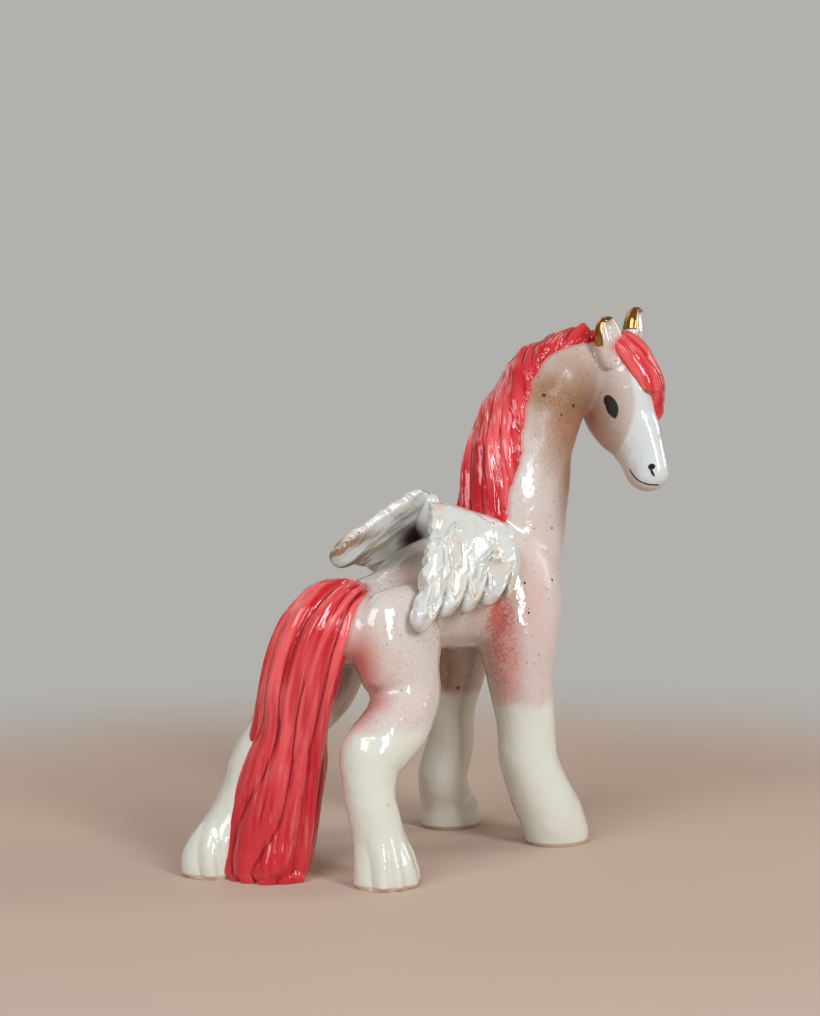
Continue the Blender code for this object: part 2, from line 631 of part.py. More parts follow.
def main():
    clear_scene()
    forms = [limb("trunk", trunk_stations()), limb("neck", neck_stations()), limb("head", head_stations())]
    forms += [wing_root_mesh(RIGHT_TOP_CORNER, -1), wing_root_mesh(LEFT_TOP_CORNER, 1)]
    flesh = fused("flesh", forms + leg_meshes(), FLESH_VOXEL, 14)
    hair = [tail_mesh(), mane_mesh(), forelock_mesh()]
    wings = [
        wing_mesh("right_wing", *RIGHT_WING, RIGHT_WING_BULGE, -1),
        wing_mesh("left_wing", *LEFT_WING, LEFT_WING_BULGE, 1),
    ]
    ears = [ear_mesh(1), ear_mesh(-1)]
    gold = [ear_gold_mesh(1), ear_gold_mesh(-1)]
    mesh = coarsened(fused("figure", [flesh] + hair + wings + ears + gold, FIGURE_VOXEL, 1))
    stood_on_table(mesh)
    coloured = [(form, "pink_speckled_glaze") for form in [flesh] + ears]
    coloured += [(form, "coral_hair_glaze") for form in hair]
    coloured += [(form, "pearl_wing_glaze") for form in wings]
    coloured += [(form, "gold_lustre") for form in gold]
    painted(mesh, coloured)
    mesh.shade_smooth()
    figure = bpy.data.objects.new("winged_pony", mesh)
    collection = bpy.data.collections.new("Winged pony figurine")
    bpy.context.scene.collection.children.link(collection)
    collection.objects.link(figure)


main()
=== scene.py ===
"""A winged pony figurine, hand modelled in speckled clay and glazed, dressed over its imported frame.

Metres, +Z up, the chest towards +X, the table at height zero. The pony is laid out from its own midline and
then moved onto the frame's origin, which is under the middle of its box.
"""

import math

import bmesh
import bpy
from mathutils import Matrix, Vector, noise
from mathutils.bvhtree import BVHTree
from mathutils.geometry import intersect_point_line


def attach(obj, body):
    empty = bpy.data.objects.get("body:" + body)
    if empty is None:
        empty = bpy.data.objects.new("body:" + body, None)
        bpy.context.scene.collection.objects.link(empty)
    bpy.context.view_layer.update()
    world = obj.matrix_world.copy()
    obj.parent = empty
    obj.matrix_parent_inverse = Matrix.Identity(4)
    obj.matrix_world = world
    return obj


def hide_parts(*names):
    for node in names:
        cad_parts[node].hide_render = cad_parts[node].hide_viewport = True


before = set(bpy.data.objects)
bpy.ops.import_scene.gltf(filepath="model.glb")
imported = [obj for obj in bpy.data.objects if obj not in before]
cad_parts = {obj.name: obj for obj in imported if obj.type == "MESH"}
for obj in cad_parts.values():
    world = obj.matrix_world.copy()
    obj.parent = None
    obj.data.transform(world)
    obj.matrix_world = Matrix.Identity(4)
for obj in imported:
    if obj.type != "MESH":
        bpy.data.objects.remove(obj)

bl_info = {
    "name": "Winged Pony Figurine",
    "version": (1, 0, 0),
    "blender": (4, 5, 0),
    "location": "View3D > Sidebar > Pony",
    "description": "Models and glazes a ceramic winged pony",
    "category": "Add Mesh",
}

UP = Vector((0, 0, 1))
AHEAD = Vector((1, 0, 0))
ORIGIN = Vector((0.0156, -0.0004, 0))
TABLE_EDGE = 0.0004
RIGHT_HIND_HOOF = Vector((-0.0266, -0.0215, 0))
LEFT_HIND_HOOF = Vector((-0.0483, 0.0210, 0))
# Voxel and smoothing of the trunk, neck, head and legs, and then of the whole body with its ears
FLESH_VOXEL = 0.0006
FLESH_SMOOTHING = 24
SKIN_SMOOTHING = 3
KEPT_TRIANGLES = 0.45
WING_RINGS = 170
WING_SIDES = 280
HAIR_EDGE_REACH = 0.0018
WING_EDGE_REACH = 0.0016
FEATHERING_REACH = 0.014
HOLLOW_REACH = 0.0010
HOLLOW_SMOOTHING = 24
FLOOR_RADIUS = 3.0
LAMPS_AIM = Vector((0, 0, 0.07))


def length(name, description, default):
    return bpy.props.FloatProperty(
        name=name, description=description, default=default, unit="LENGTH", precision=4
    )


def factor(name, description, default):
    return bpy.props.FloatProperty(name=name, description=description, default=default)


def degrees(name, description, default):
    return bpy.props.FloatProperty(
        name=name, description=description, default=math.radians(default), subtype="ANGLE"
    )


def colour(name, description, default):
    return bpy.props.FloatVectorProperty(
        name=name, description=description, default=(*default, 1.0), size=4, subtype="COLOR", min=0, max=1
    )


class PonyBody(bpy.types.PropertyGroup):
    """Sizes of the trunk, neck, legs and head."""

    rump_x: length("Rump", "How far behind the midline's zero the rump ends", -0.0335)
    breast_x: length("Breast", "How far ahead the breast ends", 0.0613)
    croup_height: length("Croup height", "Top of the croup over the table", 0.0772)
    back_height: length("Back height", "Lowest place of the back", 0.0810)
    withers_height: length("Withers height", "Top of the withers", 0.0880)
    belly_height: length("Belly height", "Underside of the barrel", 0.0555)
    hip_half_width: length("Hip half width", "Half the width at the hips", 0.0150)
    loin_half_width: length("Loin half width", "Half the width at the waist", 0.0132)
    barrel_half_width: length("Barrel half width", "Half the width of the barrel", 0.0145)
    shoulder_half_width: length("Shoulder half width", "Half the width at the shoulders", 0.0152)
    neck_half_depth: length("Neck half depth", "Half the neck from crest to throat", 0.0160)
    neck_half_width: length("Neck half width", "Half the neck from side to side", 0.0145)
    nape_half_depth: length("Nape half depth", "The same at the nape", 0.0125)
    nape_half_width: length("Nape half width", "The same at the nape", 0.0110)
    haunch_half_length: length("Haunch half length", "Half the haunch along the body", 0.0145)
    haunch_half_width: length("Haunch half width", "Half the haunch across the body", 0.0092)
    hock_radius: length("Hock radius", "Thickness of the hock", 0.0092)
    right_cannon_radius: length("Right cannon radius", "Lower right hind leg", 0.0068)
    left_cannon_radius: length("Left cannon radius", "Lower left hind leg", 0.0078)
    upper_arm_radius: length("Upper arm radius", "Foreleg under the elbow", 0.0104)
    right_knee_radius: length("Right knee radius", "Right foreleg at the knee", 0.0083)
    left_knee_radius: length("Left knee radius", "Left foreleg at the knee", 0.0070)
    hoof_half_length: length("Hoof half length", "Half of the sole along the body", 0.0092)
    hoof_half_width: length("Hoof half width", "Half of the sole across the body", 0.0082)
    feathering_top: length("Feathering top", "Height where the hair over the hooves starts", 0.0160)
    feathering_depth: length("Feathering depth", "Depth of the flutes in that hair", 0.0011)
    sole_sink: length("Sole sink", "Clay that is cut off level with the table", 0.0030)
    head_turn: degrees("Head turn", "The nose from straight ahead", -81)
    head_dip: degrees("Head dip", "The nose below level", 65)
    head_tilt: degrees("Head tilt", "The ears' slope", 13)
    cheek_half_depth: length("Cheek half depth", "Half the head from brow to jaw", 0.0122)
    cheek_half_width: length("Cheek half width", "Half the head across the cheeks", 0.0080)
    nose_half_depth: length("Nose half depth", "Half the nose from bridge to chin", 0.0075)
    muzzle_half_width: length("Muzzle half width", "Half the muzzle across", 0.0050)
    ear_length: length("Ear length", "From the poll to the tip", 0.0145)
    ear_half_width: length("Ear half width", "Half of the widest place", 0.0048)
    ear_spread: length("Ear spread", "Each ear from the middle of the two", 0.0058)
    ear_shift: length("Ear shift", "The ears' middle to the left of the head's", 0.0010)
    ear_cup_depth: length("Ear cup depth", "How far the ear is hollowed", 0.0024)
    gold_thickness: length("Gold thickness", "How far the gilding stands proud", 0.00015)
    gold_half_cover: degrees("Gold half cover", "How far the gilding reaches round an ear", 85)
    gold_turn: degrees("Gold turn", "The gilding's middle from the back of the ear", 35)
    clay_voxel: length("Clay detail", "Finest detail of the fused clay", 0.00045)
    lump_size: length("Lump size", "Width of the hand work's lumps", 0.011)
    lump_height: length("Lump height", "Height of the hand work's lumps", 0.00036)
    dimple_size: length("Dimple size", "Width of the dimples between them", 0.004)
    dimple_height: length("Dimple height", "Depth of the dimples", 0.00011)


class PonyHair(bpy.types.PropertyGroup):
    """Sizes of the mane, forelock and tail."""

    mane_thickness: length("Mane thickness", "Clay laid over the crest", 0.0026)
    mane_half_cover: degrees("Mane half cover", "How far the mane reaches round the neck", 52)
    mane_strand_depth: length("Mane strand depth", "Depth of the grooves", 0.0019)
    forelock_thickness: length("Forelock thickness", "Clay laid over the brow", 0.0022)
    forelock_strand_depth: length("Forelock strand depth", "Depth of the grooves", 0.0007)
    forelock_half_cover: degrees("Forelock half cover", "How far the forelock reaches round the head", 66)
    forelock_lean: degrees("Forelock lean", "How far the forelock hangs to the right", 14)
    tail_half_width: length("Tail half width", "Half the tail across", 0.0108)
    tail_half_depth: length("Tail half depth", "Half the tail from front to back", 0.0089)
    tail_strand_depth: length("Tail strand depth", "Depth of the grooves", 0.0022)


class PonyWings(bpy.types.PropertyGroup):
    """Sizes of the wings."""

    thickness: length("Thickness", "Clay slab of a wing", 0.0050)
    padding: factor("Padding", "Extra clay behind the front edge", 1.3)
    root_radius: length("Root radius", "The clay that carries a wing", 0.0066)
    relief_height: length("Relief height", "Height of the drips and folds", 0.0017)
    left_relief: factor("Left relief", "Share of the relief that the left wing has", 0.45)
    drip_width: length("Drip width", "Half the width of a drip", 0.0008)
    span: length("Span", "Width of a wing that the drips' places are shares of", 0.0320)
    lobe_reach: length("Lobe reach", "How far the feather tips reach out", 0.0050)


class PonyGlazes(bpy.types.PropertyGroup):
    """Colours of the glazes."""

    pink: colour("Pink glaze", "Coat under clear glaze", (0.635, 0.56, 0.52))
    rosy: colour("Rosy glaze", "Warmer clouds in the coat", (0.64, 0.50, 0.44))
    # Also laid as painted shade on the throat, the far legs and the back under the near wing
    clay: colour("Bare clay", "Where the glaze is thin", (0.27, 0.118, 0.048))
    # Laid as painted shade, over brown clay, in the hollow between the wings
    umber_shade: colour("Umber", "Dark brown in the deepest hollows", (0.060, 0.028, 0.012))
    speck: colour("Speck", "Iron specks in the clay", (0.030, 0.020, 0.016))
    cream: colour("Cream glaze", "Socks", (0.69, 0.685, 0.595))
    sole: colour("Sole", "Unglazed rim of a hoof", (0.50, 0.37, 0.26))
    white: colour("White glaze", "Blaze and muzzle", (0.65, 0.675, 0.675))
    chin: colour("Chin", "Where the white thins out", (0.60, 0.47, 0.39))
    blush: colour("Red blush", "Where the coral glaze ran into the pink", (0.55, 0.075, 0.055))
    soft_blush: colour("Soft blush", "Coral glaze brushed on thinly", (0.70, 0.30, 0.26))
    coral: colour("Coral glaze", "Hair", (0.52, 0.012, 0.020))
    light_coral: colour("Light coral", "Hair glaze brushed on thinly", (0.86, 0.120, 0.125))
    pooled: colour("Pooled coral", "Hair glaze in the grooves", (0.26, 0.002, 0.014))
    frosted: colour("Frosted coral", "Where the hair's white clay shows", (0.88, 0.46, 0.44))
    pearl: colour("Pearl glaze", "Wings", (0.66, 0.68, 0.65))
    warm_pearl: colour("Warm pearl", "Warmer clouds in the wings", (0.65, 0.60, 0.52))
    pooled_pearl: colour("Pooled pearl", "Brown of the wings' hollows", (0.30, 0.19, 0.11))
    black: colour("Black paint", "Eyes, nostrils and mouth", (0.010, 0.009, 0.011))
    gold: colour("Gold lustre", "Ear edges", (0.62, 0.33, 0.10))


class PonyStage(bpy.types.PropertyGroup):
    """Floor, backdrop, camera and lamps."""

    floor: colour("Floor", "Plain floor under the figure", (0.56, 0.42, 0.335))
    backdrop: colour("Backdrop", "Plain ground behind the figure", (0.447, 0.440, 0.418))
    camera_place: bpy.props.FloatVectorProperty(
        name="Camera place",
        description="Where the camera stands",
        default=(-0.49277, -0.46456, 0.148),
        unit="LENGTH",
    )
    camera_heading: degrees("Camera heading", "Turn of the view about the vertical", -46)
    camera_dip: degrees("Camera dip", "How far the view points below level", 4.434)
    lens: factor("Lens", "Focal length in millimetres", 86.81)


class Station:
    """One cross-section: its centre, two half sizes and the direction that its depth is measured in."""

    def __init__(self, centre, depth, width, facing=AHEAD):
        self.centre = Vector(centre)
        self.depth = depth
        self.width = width
        self.facing = Vector(facing).normalized()


def curve_value(before, start, end, after, share):
    """Catmull-Rom blend of four neighbouring values, at a share of the way from start to end."""
    return 0.5 * (
        2 * start
        + (end - before) * share
        + (2 * before - 5 * start + 4 * end - after) * share**2
        + (3 * start - before - 3 * end + after) * share**3
    )


def flowing(stations, steps):
    """Stations on one smooth curve through the given ones."""
    made = []
    last = len(stations) - 1
    for i in range(last):
        near = [stations[max(i - 1, 0)], stations[i], stations[i + 1], stations[min(i + 2, last)]]
        for step in range(steps + (i == last - 1)):
            share = step / steps
            centre = curve_value(*[station.centre for station in near], share)
            depth = curve_value(*[station.depth for station in near], share)
            width = curve_value(*[station.width for station in near], share)
            made.append(Station(centre, depth, width, near[1].facing.lerp(near[2].facing, share)))
    return made


def section_axes(stations):
    """(depth axis, width axis) of each station, square to the line through the centres."""
    made = []
    for i, station in enumerate(stations):
        tangent = stations[min(i + 1, len(stations) - 1)].centre - stations[max(i - 1, 0)].centre
        tangent.normalize()
        depth_axis = (station.facing - tangent * station.facing.dot(tangent)).normalized()
        made.append((depth_axis, tangent.cross(depth_axis)))
    return made


def mesh_of(name, shape):
    mesh = bpy.data.meshes.new(name)
    shape.to_mesh(mesh)
    shape.free()
    return mesh


def shape_of(mesh):
    shape = bmesh.new()
    shape.from_mesh(mesh)
    return shape


def skin(name, rings, sides, point, comb=None):
    """A closed mesh of rings, each bridged to the next. point(share along, angle, ring) places a corner, and
    comb(share along, angle) gives its place in the combed hair, which the glaze's streaks follow."""
    shape = bmesh.new()
    combed = shape.verts.layers.float_vector.new("combed") if comb else None
    loops = []
    for i in range(rings):
        made = bmesh.ops.create_circle(shape, segments=sides, radius=1.0)
        for k, vert in enumerate(made["verts"]):
            share, angle = i / (rings - 1), math.tau * k / sides
            vert.co = point(share, angle, i)
            if comb:
                vert[combed] = comb(share, angle)
        loops.append(list(dict.fromkeys(edge for vert in made["verts"] for edge in vert.link_edges)))
    for first, second in zip(loops, loops[1:]):
        bmesh.ops.bridge_loops(shape, edges=first + second)
    bmesh.ops.edgeloop_fill(shape, edges=loops[0])
    bmesh.ops.edgeloop_fill(shape, edges=loops[-1])
    bmesh.ops.recalc_face_normals(shape, faces=shape.faces)
    return mesh_of(name, shape)


def limb(name, stations, sides=32, lift=None, steps=8, comb=None):
    """A tube through the stations. lift(share along, angle, centre) is added to its radius."""
    run = flowing(stations, steps)
    axes = section_axes(run)

    def point(share, angle, ring):
        station, (depth_axis, width_axis) = run[ring], axes[ring]
        rise = lift(share, angle, station.centre) if lift else 0.0
        across = depth_axis * math.cos(angle) * max(station.depth + rise, 1e-4)
        return station.centre + across + width_axis * math.sin(angle) * max(station.width + rise, 1e-4)

    return skin(name, len(run), sides, point, comb)


def smooth_share(value, start, end):
    """0 at start, 1 at end, eased in between. start may be the larger."""
    share = min(max((value - start) / (end - start), 0.0), 1.0)
    return share * share * (3 - 2 * share)


def off_angle(angle, middle):
    """How far the angle is from the middle one, signed."""
    return (angle - middle + math.pi) % math.tau - math.pi


def strands(count, angle, slant, wander):
    """Rounded hairs with sharp grooves between them, from -0.6 to 0.4."""
    return abs(math.sin(0.5 * (count * angle + slant) + wander)) - 0.6


def ripple(place, size, seed):
    """Smooth wandering value from about -1 to 1, with bumps of this size."""
    return noise.noise(Vector(place) / size + Vector((seed, seed * 0.7, seed * 1.3)))


def locks(place, width, seed):
    """Rounded locks of about this width with sharp grooves between them, from about -0.5 to 0.8."""
    return 2.4 * abs(ripple(place, width, seed)) - 0.5


def combed_place(turn, along, radius):
    """A place in combed hair: round the limb by the turn, and along it in lengths drawn out like strands."""
    return Vector((radius * math.cos(turn), radius * math.sin(turn), along))


def combed_relief(place, seed):
    """Broad ribbons of hair, narrower ones over them and fine hair over those."""
    sway = Vector((ripple(place, 0.009, seed + 20), ripple(place, 0.009, seed + 30), 0)) * 0.0020
    ribbons = ((0.60, 0.0058), (0.30, 0.0024), (0.10, 0.0010))
    return sum(height * locks(place + sway, width, seed + i) for i, (height, width) in enumerate(ribbons))


def trunk_stations(p):
    (croup, croup_half), (back, back_half), (withers, withers_half) = (
        ((top + p.belly_height) / 2, (top - p.belly_height) / 2)
        for top in (p.croup_height, p.back_height, p.withers_height)
    )
    return [
        Station((p.rump_x, 0, 0.0690), 0.0020, 0.0020, UP),
        Station((p.rump_x + 0.0020, 0, 0.0685), 0.0060, 0.0070, UP),
        Station((p.rump_x + 0.0080, 0, 0.0655), 0.0096, p.hip_half_width - 0.0020, UP),
        Station((p.rump_x + 0.0200, 0, croup), croup_half, p.hip_half_width - 0.0004, UP),
        Station((p.rump_x + 0.0340, 0, back), back_half, p.loin_half_width, UP),
        Station((p.rump_x + 0.0500, 0, withers), withers_half, p.barrel_half_width, UP),
        Station((p.breast_x - 0.0260, 0, 0.0710), withers_half, p.shoulder_half_width, UP),
        Station((p.breast_x - 0.0130, 0, 0.0710), withers_half - 0.0006, p.shoulder_half_width - 0.0016, UP),
        Station((p.breast_x - 0.0040, 0, 0.0730), 0.0110, 0.0098, UP),
        Station((p.breast_x - 0.0005, 0, 0.0735), 0.0035, 0.0035, UP),
    ]


def neck_stations(p):
    depth, width = p.neck_half_depth, p.neck_half_width
    nape_depth, nape_width = p.nape_half_depth, p.nape_half_width
    return [
        Station((0.0410, 0, 0.0700), depth + 0.0005, width),
        Station((0.0463, 0, 0.0850), depth - 0.0002, width),
        Station((0.0488, 0, 0.1000), depth - 0.0008, width - 0.0003, (1, -0.1, 0)),
        Station((0.0527, -0.0003, 0.1130), depth - 0.0024, width - 0.0014, (1, -0.3, 0)),
        Station((0.0588, -0.0012, 0.1230), nape_depth - 0.0003, nape_width + 0.0006, (1, -0.6, 0)),
        Station((0.0645, -0.0022, 0.1295), nape_depth - 0.0014, nape_width, (1, -1.0, -0.4)),
        Station((0.0710, -0.0038, 0.1335), nape_depth - 0.0030, nape_width - 0.0015, (0.5, -0.8, -0.8)),
        Station((0.0765, -0.0060, 0.1352), nape_depth - 0.0040, nape_width - 0.0030, (0.2, -0.5, -1.0)),
    ]


CROWN = Vector((0.0766, -0.0062, 0.1408))
# The smile is part of a circle on each side of the face, given along the nose and out of the forehead
SMILE_CENTRE = (0.0379, 0.0059, 0)
SMILE_RADIUS = 0.00877
SMILE_HALF_LINE = 0.00025
LARGE_SPECKS = (
    ((0.0345, -0.0083, 0.1262), 0.00060),
    ((0.0425, -0.0124, 0.1230), 0.00050),
    ((0.0172, 0.0088, 0.0424), 0.00055),
    ((0.0268, -0.0182, 0.0747), 0.00045),
)


def head_axes(p):
    """(down the nose, out of the forehead, to the left of the face, the ears' own left)."""
    level = Vector((math.cos(p.head_turn), math.sin(p.head_turn), 0))
    nose = level * math.cos(p.head_dip) - UP * math.sin(p.head_dip)
    brow = level * math.sin(p.head_dip) + UP * math.cos(p.head_dip)
    left = nose.cross(brow) * -1
    tilted = left * math.cos(p.head_tilt) + UP * math.sin(p.head_tilt)
    return nose, brow, left, tilted


def on_head(p, along, out, left=0.0):
    """A point on the head: along the nose from the crown, out of the forehead, and to the ears' left."""
    nose, brow, _, tilted = head_axes(p)
    return CROWN + nose * along + brow * out + tilted * left


def head_stations(p):
    brow = head_axes(p)[1]
    cheek, nose = p.cheek_half_depth, p.nose_half_depth
    wide, muzzle = p.cheek_half_width, p.muzzle_half_width
    places = [
        (0.0000, 0.0045, 0.0025, 0.0020),
        (0.0025, 0.0042, 0.0064, 0.0052),
        (0.0070, 0.0030, 0.0094, wide - 0.0010),
        (0.0130, 0.0010, cheek - 0.0002, wide),
        (0.0190, -0.0008, cheek, wide),
        (0.0250, -0.0010, cheek - 0.0014, wide - 0.0009),
        (0.0300, -0.0002, nose + 0.0016, muzzle + 0.0012),
        (0.0350, 0.0000, nose + 0.0002, muzzle + 0.0002),
        (0.0390, 0.0000, nose - 0.0006, muzzle - 0.0001),
        (0.0430, -0.0002, nose - 0.0014, muzzle - 0.0002),
        (0.0455, -0.0006, nose - 0.0036, muzzle - 0.0016),
        (0.0465, -0.0008, 0.0015, 0.0012),
    ]
    return [Station(on_head(p, along, out), depth, width, brow) for along, out, depth, width in places]


def fore_leg(p, elbow, knee, pastern, hoof, knee_radius):
    """Each place is (forward, left). The leg stays inside the trunk above the elbow."""
    arm = p.upper_arm_radius - p.right_knee_radius + knee_radius
    forearm = knee_radius + 0.0012
    coronet = (pastern[0] + hoof[0]) / 2
    long, wide = p.hoof_half_length, p.hoof_half_width
    return [
        Station((elbow[0] + 0.0030, elbow[1] * 0.40, 0.0900), 0.0060, 0.0040),
        Station((elbow[0] + 0.0030, elbow[1] * 0.60, 0.0820), arm + 0.0030, arm - 0.0020),
        Station((elbow[0] + 0.0022, elbow[1] * 0.85, 0.0710), arm + 0.0038, arm),
        Station((*elbow, 0.0576), arm + 0.0018, arm + 0.0004),
        Station((elbow[0] - 0.0003, (elbow[1] + knee[1]) / 2, 0.0464), forearm, forearm),
        Station((*knee, 0.0352), knee_radius, knee_radius),
        Station((knee[0] + 0.0002, knee[1] * 1.05, 0.0250), knee_radius, knee_radius),
        Station((*pastern, 0.0160), knee_radius + 0.0004, knee_radius + 0.0002),
        Station((coronet, hoof[1] * 0.98, 0.0090), knee_radius + 0.0010, knee_radius + 0.0005),
        Station((hoof[0] - 0.0010, hoof[1], 0.0035), long + 0.0004, wide + 0.0004),
        Station((*hoof, 0), long, wide),
        Station((*hoof, -p.sole_sink), long - 0.0010, wide - 0.0008),
    ]


def hind_leg(p, hip, stifle, hock, cannon, hoof, cannon_radius):
    """Each place is (forward, left). The haunch is sunk into the croup at its top."""
    haunch, haunch_width = p.haunch_half_length, p.haunch_half_width
    gaskin = (stifle[0] + hock[0]) / 2 + 0.0020
    shin = ((hock[0] + cannon[0]) / 2 - 0.0010, (hock[1] + cannon[1]) / 2, 0.0280)
    ankle = ((cannon[0] + hoof[0]) / 2, (cannon[1] + hoof[1]) / 2, 0.0120)
    return [
        Station((hip[0] - 0.0010, hip[1] * 0.70, 0.0745), 0.0070, 0.0040),
        Station((hip[0] - 0.0005, hip[1] * 0.92, 0.0710), haunch - 0.0020, haunch_width - 0.0012),
        Station((*hip, 0.0640), haunch, haunch_width),
        Station((hip[0], hip[1] * 1.10, 0.0560), haunch - 0.0015, haunch_width + 0.0002),
        Station((*stifle, 0.0480), p.hock_radius + 0.0008, p.hock_radius - 0.0004),
        Station((gaskin, hock[1], 0.0415), p.hock_radius - 0.0002, p.hock_radius - 0.0002),
        Station((*hock, 0.0340), p.hock_radius, p.hock_radius - 0.0006),
        Station(shin, cannon_radius + 0.0006, cannon_radius + 0.0004),
        Station((*cannon, 0.0220), cannon_radius, cannon_radius),
        Station(ankle, cannon_radius + 0.0003, cannon_radius + 0.0003),
        Station((hoof[0] - 0.0006, hoof[1], 0.0045), p.hoof_half_length - 0.0005, p.hoof_half_width),
        Station((*hoof, 0), p.hoof_half_length, p.hoof_half_width),
        Station((*hoof, -p.sole_sink), p.hoof_half_length - 0.0008, p.hoof_half_width - 0.0006),
    ]


def leg_meshes(p):
    """The two forelegs stand side by side. The left hind leg is set well back, with the tail against it."""
    # Elbow, knee, pastern and hoof
    right_fore = (0.0366, -0.0110), (0.0367, -0.0139), (0.0392, -0.0164), (0.0458, -0.0184)
    left_fore = (0.0385, 0.0120), (0.0371, 0.0148), (0.0358, 0.0172), (0.0419, 0.0192)
    # Hip, stifle, hock and cannon
    right_hind = (-0.0130, -0.0115), (-0.0128, -0.0147), (-0.0266, -0.0167), (-0.0297, -0.0185)
    left_hind = (-0.0150, 0.0110), (-0.0175, 0.0122), (-0.0335, 0.0146), (-0.0400, 0.0167)
    return [
        limb("right_fore_leg", fore_leg(p, *right_fore, p.right_knee_radius)),
        limb("left_fore_leg", fore_leg(p, *left_fore, p.left_knee_radius)),
        limb("right_hind_leg", hind_leg(p, *right_hind, RIGHT_HIND_HOOF[:2], p.right_cannon_radius)),
        limb("left_hind_leg", hind_leg(p, *left_hind, LEFT_HIND_HOOF[:2], p.left_cannon_radius)),
    ]


def ear_stations(p, side):
    """A leaf-shaped ear. side is 1 for the left ear, and the ears lean apart."""
    _, brow, _, tilted = head_axes(p)
    root = on_head(p, 0.0085, 0.0052, side * p.ear_spread + p.ear_shift)
    rise = (UP + tilted * side * 0.24 - brow * 0.06).normalized()
    opening = brow + tilted * side * 0.35
    shares = [(0, 0.80), (0.25, 1.00), (0.5, 1.02), (0.75, 0.86), (0.92, 0.58), (1.0, 0.24)]
    wide = p.ear_half_width
    return [
        Station(root + rise * p.ear_length * share, wide * 0.72 * size, wide * size, opening)
        for share, size in shares
    ]


def ear_mesh(p, side):
    """The ear, cupped on its front."""

    def lift(share, angle, centre):
        hollow = math.exp(-((off_angle(angle, 0) / 0.75) ** 2)) * smooth_share(share, 1.0, 0.7)
        return -p.ear_cup_depth * hollow * smooth_share(share, 0.05, 0.3)

    return limb("ear", ear_stations(p, side), 48, lift)


RIGHT_WING = {
    "top_corner": Vector((0.0078, -0.0040, 0.0975)),
    "shoulder": Vector((0.0316, -0.0156, 0.0836)),
    "long_tip": Vector((-0.0176, -0.0214, 0.0695)),
    "short_tip": Vector((0.0276, -0.0176, 0.0722)),
    "bulge": 0.0030,
    "side": -1,
}
LEFT_WING = {
    "top_corner": Vector((0.0125, 0.0035, 0.1005)),
    "shoulder": Vector((0.0290, 0.0148, 0.0865)),
    "long_tip": Vector((-0.0050, 0.0185, 0.0842)),
    "short_tip": Vector((0.0250, 0.0175, 0.0755)),
    "bulge": 0.0008,
    "side": 1,
}
TIP_LOBES = (0.0, 0.25, 0.45, 0.65, 0.90, 1.0)
# Beads that the slip left on a wing, as points (across from the rear edge, down from the withers)
DRIPS = (
    ((0.17, 0.33), (0.22, 0.26), (0.30, 0.25)),
    ((0.05, 0.39), (0.10, 0.37), (0.16, 0.43), (0.22, 0.67)),
    ((0.11, 0.41), (0.14, 0.58)),
    ((0.31, 0.43), (0.33, 0.60)),
    ((0.46, 0.54), (0.49, 0.70)),
    ((0.57, 0.62), (0.56, 0.72)),
    ((0.58, 0.53), (0.69, 0.42)),
    ((0.66, 0.55), (0.73, 0.50)),
    ((0.27, 0.68), (0.28, 0.85), (0.35, 0.95), (0.42, 0.86), (0.43, 0.72)),
    ((0.47, 0.74), (0.49, 0.87), (0.55, 0.94), (0.61, 0.86), (0.62, 0.73)),
    ((0.67, 0.74), (0.70, 0.89), (0.78, 0.95), (0.86, 0.87), (0.87, 0.74)),
    ((0.14, 0.66), (0.20, 0.90)),
    ((0.03, 0.70), (0.07, 0.92)),
)


def scallops(share, edges):
    """0 at each edge between two lobes and 1 in the middle of a lobe, rounded like a feather's end."""
    for start, end in zip(edges, edges[1:]):
        if share <= end:
            off = (2 * share - start - end) / (end - start)
            return math.sqrt(max(1 - off * off, 0.0))
    return 0.0


